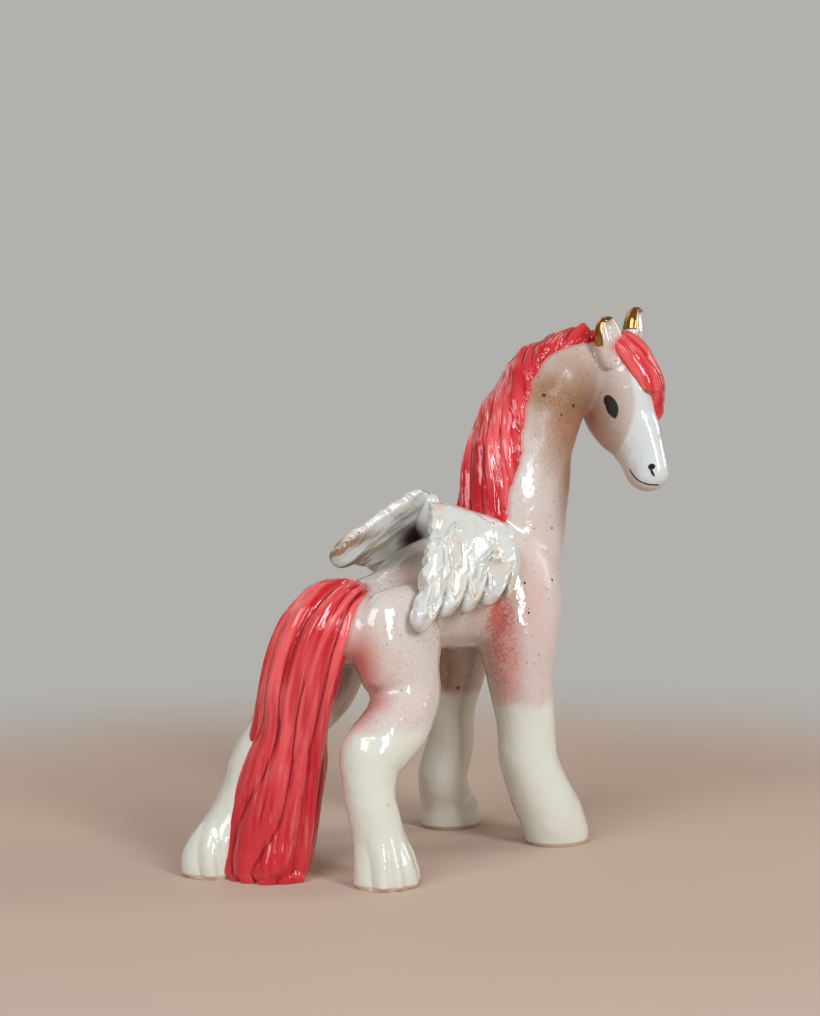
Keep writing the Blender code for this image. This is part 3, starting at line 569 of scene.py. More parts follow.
def wing_mesh(p, name, top_corner, shoulder, long_tip, short_tip, bulge, side):
    """A slab draped from the withers, with drips like feather shafts and rounded lobes at its tips."""
    outward = Vector((-0.20, side * 0.80, 0.50)).normalized()
    top_bow = Vector((0.0010, -side * 0.0016, 0.0034))
    share_of_relief = 1.0 if side < 0 else p.left_relief

    def frame_point(across, down):
        """across runs from the rear edge to the front one, down from the withers to the tips."""
        top = top_corner.lerp(shoulder, across) + top_bow * math.sin(math.pi * across)
        tip = long_tip.lerp(short_tip, across)
        rise = smooth_share(across, 0.12, 0.36) * 0.0035 - 0.0020 * math.sin(math.pi * across)
        tip = tip + UP * rise
        fall = (tip - top).normalized()
        tip = tip + fall * p.lobe_reach * scallops(across, TIP_LOBES)
        edge = 1 - smooth_share(across, 0.0, 0.15)
        lumps = 0.0011 * ripple((0, 9 * down, side), 1.0, 1)
        jag = edge * (lumps + 0.0006 * ripple((0, 24 * down, side), 1.0, 2)) * share_of_relief
        bow = bulge * math.sin(math.pi * down) * (1 - 0.5 * across)
        return top.lerp(tip, down) + outward * bow + AHEAD * jag

    def bead(gap, width):
        """A rounded bead of this width, along the line where the gap is nothing."""
        return math.exp(-((gap / width) ** 2))

    def drips(across, down):
        """1 on the middle of a drip, thinning out round it."""
        here = Vector((across * p.span, down * p.span))
        sway = 0.0006 * ripple((6 * across, 6 * down, side), 1.0, 7)
        gap = 1.0
        for points in DRIPS:
            for start, end in zip(points, points[1:]):
                near, share = intersect_point_line(here, Vector(start) * p.span, Vector(end) * p.span)
                if not 0 < share < 1:
                    near = Vector(start if share <= 0 else end).to_3d() * p.span
                gap = min(gap, (near.xy - here).length)
        return bead(max(gap + sway, 0.0), p.drip_width)

    def relief(across, down):
        """The thickness above the slab: soft folds, drips and lobed tips, with a lumpy rear edge."""
        soft = smooth_share(across, 1.0, 0.78)
        folds = 0.40 * ripple((4.5 * across, 3.6 * down, side), 1.0, 3)
        folds += 0.16 * ripple((11 * across, 9 * down, side), 1.0, 5)
        roll = 0.55 * bead(across - 0.03, 0.07) * (1 + 0.7 * ripple((0, 12 * down, side), 1.0, 9))
        shoulder = 0.55 * bead(across - 0.88, 0.16) * smooth_share(down, 0.9, 0.5)
        tips = 0.30 * bead(0.95 - down, 0.05)
        groove = 1 - smooth_share(scallops(across, TIP_LOBES), 0.0, 0.60)
        fall = groove * smooth_share(down, 0.72, 0.92)
        height = soft * (folds + 0.80 * drips(across, down)) + roll + shoulder + tips - 0.7 * fall
        return p.relief_height * height * share_of_relief

    def point(share, angle, ring):
        across = 0.5 - 0.5 * math.cos(angle)
        round_off = math.sqrt(max(1 - (2 * share - 1) ** 10, 0.0))
        thickness = p.thickness / 2 * abs(math.sin(angle)) ** 0.5 * round_off
        place = frame_point(across, share)
        fade = min(1, thickness / 0.001)
        if math.sin(angle) > 0:
            return place + outward * (thickness + relief(across, share) * fade)
        folds = 0.0005 * ripple((7 * across, 4 * share, side), 1.0, 13)
        folds += 0.00025 * ripple((18 * across, 9 * share, side), 1.0, 15)
        return place - outward * (thickness * (1 + p.padding * across) + folds * fade)

    def comb(share, angle):
        outside = 0.01 if math.sin(angle) > 0 else 0
        return Vector((0.030 * (0.5 - 0.5 * math.cos(angle)), 0.004 * share, outside))

    return skin(name, WING_RINGS, WING_SIDES, point, comb)


def wing_root_mesh(p, top_corner, side):
    """The clay that carries a wing, from inside the base of the neck to under the wing's top."""
    end = top_corner + Vector((0.0040, 0, -0.0015))
    stations = [
        Station((0.0360, side * 0.0050, 0.0820), p.root_radius + 0.0015, p.root_radius),
        Station((0.0270, side * 0.0058, 0.0870), p.root_radius, p.root_radius),
        Station((0.0195, side * 0.0060, 0.0905), p.root_radius - 0.0015, p.root_radius - 0.0010),
        Station(end, 0.0022, 0.0022),
    ]
    return limb("wing_root", stations)


def laid_hair(name, stations, sides, steps, edge_of, height_of, comb_of, sunk):
    """A slab of clay laid over a limb, where the share runs along the limb. edge_of(share, sign) gives its
    middle angle and half cover, height_of(share, off) its rise, and comb_of(share, off) the combed place."""
    run = flowing(stations, steps)
    axes = section_axes(run)

    def turned(share, angle):
        across = -math.cos(angle)
        middle, half = edge_of(share, 1 if across > 0 else -1)
        return across, middle, half * across

    def point(share, angle, ring):
        station, (depth_axis, width_axis) = run[ring], axes[ring]
        across, middle, off = turned(share, angle)
        end = math.sqrt(max(1 - (2 * share - 1) ** 24, 0.0))
        if math.sin(angle) > 0:
            rounded = (max(1 - abs(across) ** 5, 0.0)) ** 0.5 * end
            rise = (height_of(share, off) + sunk) * rounded - sunk
        else:
            rise = -sunk
        turn = middle + off
        out = depth_axis * math.cos(turn) * max(station.depth + rise, 1e-4)
        return station.centre + out + width_axis * math.sin(turn) * max(station.width + rise, 1e-4)

    def comb(share, angle):
        return comb_of(share, turned(share, angle)[2])

    return skin(name, len(run), sides, point, comb)


def mane_mesh(body, hair):
    """Hair laid over the crest, in locks that cross it on a slant and run down the neck."""

    def edge_of(share, sign):
        spread = 1.0 + 0.25 * smooth_share(share, 0.55, 0.85) - 0.30 * smooth_share(share, 0.35, 0.05)
        ragged = 0.09 * ripple((16 * share, sign, 0), 1.0, 2) + 0.03 * ripple((60 * share, sign, 0), 1.0, 4)
        return math.pi, hair.mane_half_cover * 1.06 * spread + ragged

    def comb_of(share, off):
        return combed_place(off + 0.9 * share + 1.3 * share**3, 0.0105 * share, 0.0160)

    def height_of(share, off):
        crest = ripple((0.8 * off, 11 * share, 0), 1.0, 6)
        relief = 0.40 * crest + 1.0 * combed_relief(comb_of(share, off), 5)
        return hair.mane_thickness + hair.mane_strand_depth * relief

    return laid_hair("mane", neck_stations(body)[1:], 260, 34, edge_of, height_of, comb_of, 0.0018)


def forelock_mesh(body, hair):
    """Hair that falls from between the ears down the forehead to a point."""

    def edge_of(share, sign):
        lean = -hair.forelock_lean * smooth_share(share, 0.1, 0.5)
        ragged = 0.05 * ripple((16 * share, sign, 0), 1.0, 8)
        return lean, hair.forelock_half_cover * (1 - smooth_share(share, 0.25, 1.04)) + 0.05 + ragged

    def comb_of(share, off):
        return combed_place(off + 0.5 * share, 0.0035 * share, 0.0100)

    def height_of(share, off):
        return hair.forelock_thickness + hair.forelock_strand_depth * combed_relief(comb_of(share, off), 9)

    return laid_hair("forelock", head_stations(body)[:7], 200, 24, edge_of, height_of, comb_of, 0.0016)


def tail_mesh(hair):
    wide, deep = hair.tail_half_width, hair.tail_half_depth
    stations = [
        Station((-0.0155, 0, 0.0735), 0.0020, 0.0030, UP),
        Station((-0.0178, 0, 0.0735), 0.0046, 0.0064, UP),
        Station((-0.0250, 0.0003, 0.0712), 0.0068, wide - 0.0012, (-0.6, 0, 1)),
        Station((-0.0310, 0.0015, 0.0640), deep - 0.0004, wide, (-1, 0, 0.5)),
        Station((-0.0338, 0.0042, 0.0520), deep, wide, (-1, 0, 0.1)),
        Station((-0.0347, 0.0063, 0.0400), deep - 0.0002, wide - 0.0002, (-1, 0, 0)),
        Station((-0.0357, 0.0080, 0.0300), deep + 0.0010, wide + 0.0006, (-1, 0, 0)),
        Station((-0.0387, 0.0092, 0.0160), deep + 0.0018, wide + 0.0018, (-1, 0, 0)),
        Station((-0.0414, 0.0100, 0.0040), deep + 0.0016, wide + 0.0026, (-1, 0, 0)),
        Station((-0.0420, 0.0100, 0), deep + 0.0012, wide + 0.0022, (-1, 0, 0)),
        Station((-0.0422, 0.0100, -0.0030), deep, wide, (-1, 0, 0)),
    ]

    def comb(share, angle):
        return combed_place(angle + 0.4 * share, 0.0130 * share, 0.0125)

    def lift(share, angle, centre):
        wander = 1.4 * math.sin(6 * share + angle) + 0.8 * math.sin(14 * share + 2 * angle)
        depth = 0.7 + 0.6 * ripple((2 * math.cos(angle), 2 * math.sin(angle), 4 * share), 1.0, 4)
        cords = strands(11, angle, 3.5 * share, wander)
        return hair.tail_strand_depth * (0.85 * depth * cords + 0.42 * combed_relief(comb(share, angle), 3))

    return limb("tail", stations, 260, lift, 26, comb)


def object_from(name, meshes):
    """One object that holds copies of all of these meshes."""
    shape = bmesh.new()
    for mesh in meshes:
        shape.from_mesh(mesh)
    made = bpy.data.objects.new(name, mesh_of(name, shape))
    bpy.context.scene.collection.objects.link(made)
    return made


def add_modifier(target, name, kind, **settings):
    modifier = target.modifiers.new(name, kind)
    for key, value in settings.items():
        setattr(modifier, key, value)


def settle(target):
    """Applies the object's modifiers to its mesh."""
    bpy.context.view_layer.update()
    graph = bpy.context.evaluated_depsgraph_get()
    mesh = bpy.data.meshes.new_from_object(target.evaluated_get(graph))
    target.modifiers.clear()
    target.data = mesh


def fused(name, meshes, voxel, smoothing, kept=1.0):
    """One closed skin round all of these meshes, smoothed like wet clay, with this share of its triangles."""
    target = object_from(name, meshes)
    add_modifier(target, "fuse", "REMESH", mode="VOXEL", voxel_size=voxel)
    add_modifier(target, "wet_clay", "SMOOTH", factor=0.5, iterations=smoothing)
    if kept < 1:
        add_modifier(target, "thin_out", "DECIMATE", ratio=kept)
    settle(target)
    return target


def stand_on_table(mesh):
    """Cuts the clay flat at the table and moves it onto the frame's origin."""
    shape = shape_of(mesh)
    everything = shape.verts[:] + shape.edges[:] + shape.faces[:]
    cut = bmesh.ops.bisect_plane(
        shape, geom=everything, plane_co=(0, 0, 0), plane_no=(0, 0, -1), clear_outer=True
    )
    rim = [item for item in cut["geom_cut"] if isinstance(item, bmesh.types.BMEdge)]
    if rim:
        bmesh.ops.holes_fill(shape, edges=rim, sides=0)
    bmesh.ops.translate(shape, vec=-ORIGIN, verts=shape.verts)
    shape.to_mesh(mesh)
    shape.free()


def work_by_hand(p, mesh):
    """Gives the smooth clay the uneven surface of hand work, and the hair over the hind hooves its flutes."""
    normals = [vert.normal.copy() for vert in mesh.vertices]
    for vert, normal in zip(mesh.vertices, normals):
        if vert.co.z < TABLE_EDGE:
            continue
        rise = p.lump_height * ripple(vert.co, p.lump_size, 11)
        rise += p.dimple_height * ripple(vert.co, p.dimple_size, 17)
        for hoof in (RIGHT_HIND_HOOF, LEFT_HIND_HOOF):
            gap = vert.co + ORIGIN - hoof
            if gap.xy.length < FEATHERING_REACH:
                fade = smooth_share(vert.co.z, p.feathering_top, p.feathering_top / 3)
                turn = math.atan2(gap.y, gap.x)
                wander = 0.8 * math.sin(3 * turn) + 60 * vert.co.z
                rise += p.feathering_depth * fade * strands(9, turn, 1.5, wander)
        vert.co += normal * rise


def finished_piece(target, material):
    """Gives a piece its glaze, which pools in the hollows, and lets it ride the frame."""
    mesh = target.data
    mark_hollows(mesh)
    mesh.shade_smooth()
    mesh.materials.clear()
    mesh.materials.append(material)
    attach(target, "root")
    return target


def piece_from(mesh, material):
    """A finished piece of its own, standing on the table."""
    stand_on_table(mesh)
    return finished_piece(object_from(mesh.name, [mesh]), material)


def mark_hollows(mesh):
    """Writes how deep each point lies under the surface around it, which the glazes pool by."""
    shape = shape_of(mesh)
    for _ in range(HOLLOW_SMOOTHING):
        bmesh.ops.smooth_vert(
            shape, verts=shape.verts, factor=0.5, use_axis_x=True, use_axis_y=True, use_axis_z=True
        )
    depths = [
        (smoothed.co - vert.co).dot(vert.normal) / HOLLOW_REACH
        for smoothed, vert in zip(shape.verts, mesh.vertices)
    ]
    shape.free()
    hollow = mesh.attributes.new("hollow", "FLOAT", "POINT")
    hollow.data.foreach_set("value", depths)


def mark_nearness(mesh, name, others, reach):
    """Writes 1 where the mesh meets one of the other meshes, fading to 0 at the reach."""
    trees = []
    for other in others:
        shape = shape_of(other)
        trees.append(BVHTree.FromBMesh(shape))
        shape.free()
    values = []
    for vert in mesh.vertices:
        nearest = reach
        for tree in trees:
            found = tree.find_nearest(vert.co, nearest)[3]
            if found is not None:
                nearest = min(nearest, found)
        values.append(1 - nearest / reach)
    attribute = mesh.attributes.new(name, "FLOAT", "POINT")
    attribute.data.foreach_set("value", values)


class Nodes:
    """Adds and links the nodes of one material or world. A material's colour is laid on in coats."""

    def __init__(self, owner, base=None):
        owner.use_nodes = True
        self.owner = owner
        self.tree = owner.node_tree
        self.shader = self.tree.nodes.get("Principled BSDF") or self.tree.nodes["Background"]
        self.base = base

    def add(self, kind, **settings):
        node = self.tree.nodes.new(kind)
        for key, value in settings.items():
            setattr(node, key, value)
        return node

    def set(self, socket, value):
        if isinstance(value, bpy.types.NodeSocket):
            self.tree.links.new(value, socket)
        else:
            socket.default_value = value

    def place(self):
        return self.add("ShaderNodeTexCoord").outputs["Object"]

    def attribute(self, name, output="Fac"):
        return self.add("ShaderNodeAttribute", attribute_name=name).outputs[output]

    def axes_of(self, place):
        """The place's three values, by the names X, Y and Z."""
        node = self.add("ShaderNodeSeparateXYZ")
        self.set(node.inputs[0], place)
        return node.outputs

    def axis(self, name):
        return self.axes_of(self.place())[name]

    def maths(self, operation, first, second=0.0, clamp=False):
        node = self.add("ShaderNodeMath", operation=operation, use_clamp=clamp)
        self.set(node.inputs[0], first)
        self.set(node.inputs[1], second)
        return node.outputs[0]

    def times(self, first, second):
        return self.maths("MULTIPLY", first, second)

    def most(self, first, second):
        return self.maths("MAXIMUM", first, second)

    def ramp(self, value, low, high, to_low=0.0, to_high=1.0):
        node = self.add("ShaderNodeMapRange", interpolation_type="SMOOTHSTEP")
        for socket, what in zip(node.inputs, (value, low, high, to_low, to_high)):
            self.set(socket, what)
        return node.outputs[0]

    def mix(self, share, first, second):
        node = self.add("ShaderNodeMix", data_type="RGBA")
        self.set(node.inputs["Factor"], share)
        self.set(node.inputs[6], first)
        self.set(node.inputs[7], second)
        return node.outputs[2]

    def lay(self, share, tint):
        """Lays a colour over the base in this share."""
        self.base = self.mix(share, self.base, tint)

    def noise(self, scale, detail=2.0, place=None):
        node = self.add("ShaderNodeTexNoise")
        self.set(node.inputs["Vector"], place or self.place())
        self.set(node.inputs["Scale"], scale)
        self.set(node.inputs["Detail"], detail)
        return node.outputs["Fac"]

    def specks(self, scale, radius, share):
        """Dots of about this radius in cells of 1/scale metres, in this share of the cells."""
        node = self.add("ShaderNodeTexVoronoi")
        self.set(node.inputs["Vector"], self.place())
        self.set(node.inputs["Scale"], scale)
        near = self.ramp(node.outputs["Distance"], radius * scale * 1.3, radius * scale * 0.7)
        parts = self.add("ShaderNodeSeparateColor")
        self.set(parts.inputs[0], node.outputs["Color"])
        chosen = self.maths("LESS_THAN", parts.outputs[0], share)
        return self.times(near, chosen)

    def length_of(self, vector):
        node = self.add("ShaderNodeVectorMath", operation="LENGTH")
        self.set(node.inputs[0], vector)
        return node.outputs["Value"]

    def blob(self, centre, radii, softness, place=None):
        """1 inside an ellipsoid and 0 outside it, over a soft edge."""
        node = self.add("ShaderNodeMapping", vector_type="TEXTURE")
        self.set(node.inputs["Vector"], place or self.place())
        node.inputs["Location"].default_value = centre
        node.inputs["Scale"].default_value = radii
        return self.ramp(self.length_of(node.outputs[0]), 1 + softness, 1 - softness)

    def clouds(self, places, softness):
        """The strongest of several soft ellipsoids, each given as centre, radii and strength."""
        made = 0.0
        for centre, radii, strength in places:
            made = self.most(made, self.times(self.blob(centre, radii, softness), strength))
        return made

    def surface(self, values):
        """Sets the shader's sockets by their names."""
        for name, value in values.items():
            self.set(self.shader.inputs[name], value)

    def glaze(self, roughness, coat=1.0, specular=0.3):
        self.surface({"Base Color": self.base, "Roughness": roughness, "Specular IOR Level": specular})
        self.surface({"Coat Weight": coat, "Coat Roughness": 0.04})

    def bump(self, height, distance):
        node = self.add("ShaderNodeBump")
        self.set(node.inputs["Height"], height)
        self.set(node.inputs["Distance"], distance)
        self.surface({"Normal": node.outputs[0], "Coat Normal": node.outputs[0]})

    def blend(self, share, second, output):
        """Sends the shader to the output, with the second one over it in this share."""
        node = self.add("ShaderNodeMixShader")
        for socket, value in zip(node.inputs, (share, self.shader.outputs[0], second)):
            self.set(socket, value)
        self.set(self.tree.nodes[output].inputs[0], node.outputs[0])


# Centre, radii and strength of each cloud, in the frame
# Brown on the neck is partly clay where the glaze is thin and partly painted shade under the jaw; the far
# legs' brown is painted shade over browner clay, and the last cloud, on the back under the near wing's rear
# edge, is painted shade
DUST_AND_SHADE_CLOUDS = (
    ((0.0425, -0.0115, 0.1180), (0.0130, 0.0130, 0.0175), 1.0),
    ((0.0425, -0.0125, 0.1020), (0.0075, 0.0105, 0.0160), 1.0),
    ((0.0370, -0.0095, 0.1262), (0.0095, 0.0085, 0.0080), 1.0),
    ((0.0130, 0.0170, 0.0480), (0.0200, 0.0100, 0.0200), 0.90),
    ((0.0150, 0.0170, 0.0200), (0.0200, 0.0100, 0.0250), 0.50),
    ((-0.0460, 0.0140, 0.0500), (0.0160, 0.0100, 0.0220), 1.0),
    ((-0.0580, 0.0160, 0.0220), (0.0200, 0.0090, 0.0250), 0.60),
    ((-0.0170, -0.0075, 0.0760), (0.0070, 0.0060, 0.0060), 0.45),
)
# Painted shade over brown clay in the hollow between the wings
UMBER_SHADE_HOLLOWS = (
    ((0.0015, 0.0080, 0.0862), (0.0065, 0.0060, 0.0042), 0.97),
    ((-0.0130, 0.0010, 0.0825), (0.0090, 0.0070, 0.0034), 0.75),
)
RED_RUNS = (
    ((0.0085, -0.0165, 0.0665), (0.0036, 0.0070, 0.0090), 1.1),
    ((0.0095, -0.0155, 0.0550), (0.0042, 0.0070, 0.0130), 0.62),
)
SMOOTH_RUNS = (
    ((-0.0440, -0.0120, 0.0540), (0.0040, 0.0070, 0.0110), 0.85),
    ((-0.0405, -0.0130, 0.0470), (0.0036, 0.0060, 0.0080), 0.60),
    ((0.0100, -0.0155, 0.0520), (0.0040, 0.0070, 0.0150), 0.40),
)
SOFT_BLUSHES = (
    ((0.0150, -0.0200, 0.0700), (0.0100, 0.0100, 0.0140), 0.25),
    ((0.0200, -0.0200, 0.0540), (0.0080, 0.0080, 0.0160), 0.16),
    # A pink strip down the rear edge of the right hind leg, beside the tail
    ((-0.0490, -0.0150, 0.0360), (0.0035, 0.0060, 0.0160), 0.55),
)
# Where the glaze is thin and only has a satin gloss
DRY_CLOUDS = (
    ((0.0400, -0.0090, 0.1160), (0.0180, 0.0150, 0.0190), 1.0),
    ((0.0330, -0.0180, 0.0720), (0.0150, 0.0130, 0.0270), 0.75),
    ((0.0300, -0.0160, 0.0920), (0.0120, 0.0110, 0.0160), 0.45),
)
WING_ROOTS = (
    ((0.0040, 0.0010, 0.0930), (0.0110, 0.0090, 0.0080), 1.0),
    ((0.0120, -0.0080, 0.0900), (0.0080, 0.0070, 0.0055), 1.0),
)
FAR_TIP = ((-0.0206, 0.0189, 0.0830), (0.0110, 0.0140, 0.0090), 1.0)


def clay_and_shade_clouds(n, p):
    """The coat's clouds, brown where the glaze is thin and partly painted shade on the throat, far legs and
    back, and painted shade in near-black umber in the hollow between the wings.
    """
    n.lay(n.ramp(n.noise(75, 3), 0.45, 0.72), p.rosy)
    n.lay(n.ramp(n.noise(1300, 3), 0.50, 0.78, 0.0, 0.30), p.clay)
    dust_and_shade_grain = n.ramp(n.noise(2400, 2), 0.36, 0.56)
    # Painted shade mixed with thin-glaze brown on the neck, throat, far legs and back
    n.lay(n.times(n.clouds(DUST_AND_SHADE_CLOUDS, 0.75), n.ramp(dust_and_shade_grain, 0, 1, 0.80, 1.0)), p.clay)
    n.lay(n.clouds(WING_ROOTS, 0.12), p.pearl)
    # Painted shade in the hollow between the wings
    n.lay(n.clouds(UMBER_SHADE_HOLLOWS, 0.8), p.umber_shade)


def coral_runs(n, p):
    """Coral glaze that ran or was brushed into the pink, and a pink strip down the right hind leg's rear edge
    beside the tail.
    """
    n.lay(n.clouds(SOFT_BLUSHES, 0.8), p.soft_blush)
    n.lay(n.clouds(SMOOTH_RUNS, 0.7), p.blush)
    grain = n.times(n.maths("SUBTRACT", n.noise(1100, 4), 0.5), 1.6)
    runs = n.ramp(n.maths("ADD", n.clouds(RED_RUNS, 0.8), grain), 0.25, 1.15)
    n.lay(n.times(runs, 0.9), p.blush)
    n.lay(n.times(n.ramp(n.attribute("hair_edge"), 0.2, 1.0), 0.55), p.blush)
    line = n.times(n.ramp(n.attribute("wing_edge"), 0.2, 0.9), n.ramp(n.axis("X"), 0.004, 0.014))
    n.lay(n.times(line, 0.7), p.soft_blush)


def sock(n):
    """1 below the knees and hocks, over a soft uneven edge."""
    edge = n.maths("ADD", n.axis("Z"), n.times(n.noise(120, 2), 0.004))
    return n.ramp(edge, 0.0445, 0.0405)


def face_place(n, body):
    """Places on the head: along the nose, out of the forehead and away from the middle, on either side."""
    nose, brow, left, _ = head_axes(body)
    head = n.add("ShaderNodeMapping", vector_type="TEXTURE")
    n.set(head.inputs["Vector"], n.place())
    head.inputs["Location"].default_value = CROWN - ORIGIN
    head.inputs["Rotation"].default_value = Matrix((nose, brow, left)).transposed().to_euler()
    fold = n.add("ShaderNodeVectorMath", operation="ABSOLUTE")
    n.set(fold.inputs[0], head.outputs[0])
    face, folded = n.axes_of(head.outputs[0]), n.axes_of(fold.outputs[0])
    both = n.add("ShaderNodeCombineXYZ")
    for socket, value in zip(both.inputs, (face["X"], face["Y"], folded["Z"])):
        n.set(socket, value)
    return both.outputs[0]


def white_face(n, p, face):
    """White down the nose and over the muzzle, clay-coloured at the chin. It returns the white's mask."""
    where = n.axes_of(face)
    cheek = n.blob((0.0145, -0.0099, 0), (0.0188, 0.0188, 1.0), 0.035, face)
    ahead = n.times(n.ramp(where["X"], 0.010, 0.016), n.ramp(where["Z"], 0.0125, 0.0105))
    white = n.times(n.maths("SUBTRACT", 1.0, cheek), ahead)
    brown = n.blob((0.0170, -0.0070, 0), (0.0150, 0.0110, 0.02), 0.7, face)
    n.lay(n.times(brown, 0.38), p.clay)
    jaw = n.blob((0.0220, -0.0100, 0), (0.0120, 0.0045, 0.02), 0.7, face)
    n.lay(n.times(jaw, 0.55), p.soft_blush)
    ear = n.times(n.ramp(n.attribute("hollow"), 0.1, 1.0), n.ramp(n.axis("Z"), 0.134, 0.137))
    n.lay(n.times(ear, 0.8), p.soft_blush)
    n.lay(white, n.mix(n.ramp(where["Y"], 0.0015, -0.0060), p.white, p.chin))
    return white


def painted_face(n, p, face):
    """Almond eyes, comma-shaped nostrils and a smile, in black."""
    front = n.blob((0.0203, -0.0012, 0), (0.0041, 0.0041, 1.0), 0.03, face)
    rear = n.blob((0.0211, 0.0031, 0), (0.0041, 0.0041, 1.0), 0.03, face)
    upper = n.blob((0.0188, 0.0008, 0), (0.0019, 0.0016, 1.0), 0.06, face)
    eye = n.most(n.times(front, rear), upper)
    nostril = n.blob((0.0408, 0.0038, 0.0036), (0.0009, 0.0010, 0.0022), 0.12, face)
    slit = n.blob((0.0424, 0.0034, 0.0034), (0.0013, 0.0004, 0.0022), 0.25, face)
    outer, inner = (
        n.blob(SMILE_CENTRE, (radius, radius, 1.0), 0.012, face)
        for radius in (SMILE_RADIUS + SMILE_HALF_LINE, SMILE_RADIUS - SMILE_HALF_LINE)
    )
    line = n.maths("SUBTRACT", outer, inner, clamp=True)
    smile = n.times(line, n.blob((0.0424, -0.0001, 0), (0.0050, 0.0042, 0.02), 0.05, face))
    n.lay(n.most(n.most(eye, smile), n.most(nostril, slit)), p.black)


def coat_glaze(p, body):
    """Pale pink over speckled clay, cream below the knees, white on the face, and the painted features."""
    n = Nodes(bpy.data.materials.new("pink_speckled_glaze"), p.pink)
    clay_and_shade_clouds(n, p)
    coral_runs(n, p)
    socks = sock(n)
    n.lay(socks, p.cream)
    face = face_place(n, body)
    white = white_face(n, p, face)
    clean = n.maths("SUBTRACT", 1.0, n.most(white, n.times(socks, 0.9)), clamp=True)
    dots = n.most(n.times(n.specks(560, 0.00023, 0.26), 0.7), n.specks(190, 0.00036, 0.20))
    n.lay(n.times(dots, clean), p.speck)
    for place, radius in LARGE_SPECKS:
        n.lay(n.blob(place, (radius,) * 3, 0.3), p.speck)
    painted_face(n, p, face)
    n.lay(n.ramp(n.axis("Z"), 0.0014, 0.0008), p.sole)
    dry = n.clouds(DRY_CLOUDS, 0.35)
    n.glaze(n.ramp(dry, 0.0, 1.0, 0.12, 0.42), n.ramp(dry, 0.0, 1.0, 1.0, 0.10))
    n.bump(n.noise(260, 2), 0.00025)
    return n.owner


def hair_glaze(p):
    """Coral glaze brushed along the hair, dark where it pooled in the grooves and pale where it is thin, with
    painted shade over the top of the mane and darker towards the tail's bottom.
    """
    n = Nodes(bpy.data.materials.new("coral_hair_glaze"), p.coral)
    hollow, combed, height = n.attribute("hollow"), n.attribute("combed", "Vector"), n.axis("Z")
    broad, fine = n.noise(300, 2, combed), n.noise(1100, 2, combed)
    n.lay(n.ramp(broad, 0.34, 0.60), p.light_coral)
    # Painted shade darkens the top band of the mane; the tail is darker towards its bottom
    crest = n.times(n.ramp(height, 0.116, 0.134, 0.0, 0.75), n.ramp(n.axis("Y"), -0.020, -0.014))
    n.lay(n.most(n.ramp(height, 0.055, 0.008, 0.0, 0.85), crest), p.coral)
    n.lay(n.times(n.ramp(fine, 0.48, 0.72), 0.30), p.coral)
    n.lay(n.ramp(hollow, 0.01, 0.26), p.pooled)
    thin = n.times(n.ramp(n.noise(95, 1), 0.50, 0.66), n.ramp(n.noise(1900, 2, combed), 0.46, 0.60))
    high = n.times(thin, n.ramp(height, 0.070, 0.085, 0.15, 0.80))
    n.lay(n.times(high, n.ramp(hollow, 0.10, -0.10)), p.frosted)
    n.glaze(0.10, coat=0.85, specular=0.15)
    n.bump(fine, 0.00012)
    return n.owner


def wing_glaze(p):
    """Pearly white glaze, warmer in clouds, brown where it pooled and striped on the far wing's tip."""
    n = Nodes(bpy.data.materials.new("pearl_wing_glaze"), p.pearl)
    n.lay(n.ramp(n.noise(120, 3), 0.46, 0.66), p.warm_pearl)
    stripes = n.ramp(n.noise(420, 2, n.attribute("combed", "Vector")), 0.42, 0.56)
    n.lay(n.times(n.clouds((FAR_TIP,), 0.4), stripes), p.pooled_pearl)
    n.lay(n.times(n.ramp(n.attribute("hollow"), 0.10, 0.75), 0.75), p.pooled_pearl)
    # Painted shade on the wings next to the hollow between them
    n.lay(n.clouds(UMBER_SHADE_HOLLOWS, 0.4), p.umber_shade)
    n.glaze(0.10)
    n.surface({"Thin Film Thickness": 380, "Thin Film IOR": 1.45})
    n.bump(n.noise(520, 2), 0.0002)
    return n.owner


def gold_glaze(p):
    n = Nodes(bpy.data.materials.new("gold_lustre"), p.gold)
    wear = n.ramp(n.noise(1500, 2), 0.35, 0.7)
    n.lay(wear, [c * 0.6 for c in p.gold[:3]] + [1])
    n.surface({"Base Color": n.base, "Metallic": 1.0, "Roughness": n.ramp(wear, 0, 1, 0.10, 0.22)})
    return n.owner


class PONY_OT_body(bpy.types.Operator):
    """Models the trunk, neck, head, legs and ears as one fused piece of clay"""

    bl_idname = "pony.body"
    bl_label = "Pony Body"

    def execute(self, context):
        p, wings = context.scene.pony_body, context.scene.pony_wings
        forms = [limb("trunk", trunk_stations(p)), limb("neck", neck_stations(p))]
        forms.append(limb("head", head_stations(p)))
        for wing in (RIGHT_WING, LEFT_WING):
            forms.append(wing_root_mesh(wings, wing["top_corner"], wing["side"]))
        flesh = fused("flesh", forms + leg_meshes(p), FLESH_VOXEL, FLESH_SMOOTHING)
        with_ears = [flesh.data, ear_mesh(p, 1), ear_mesh(p, -1)]
        bpy.data.objects.remove(flesh)
        body = fused("winged_pony_body", with_ears, p.clay_voxel, SKIN_SMOOTHING, KEPT_TRIANGLES)
        stand_on_table(body.data)
        work_by_hand(p, body.data)
        finished_piece(body, coat_glaze(context.scene.pony_glazes, p))
        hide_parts("winged_pony")
        return {"FINISHED"}


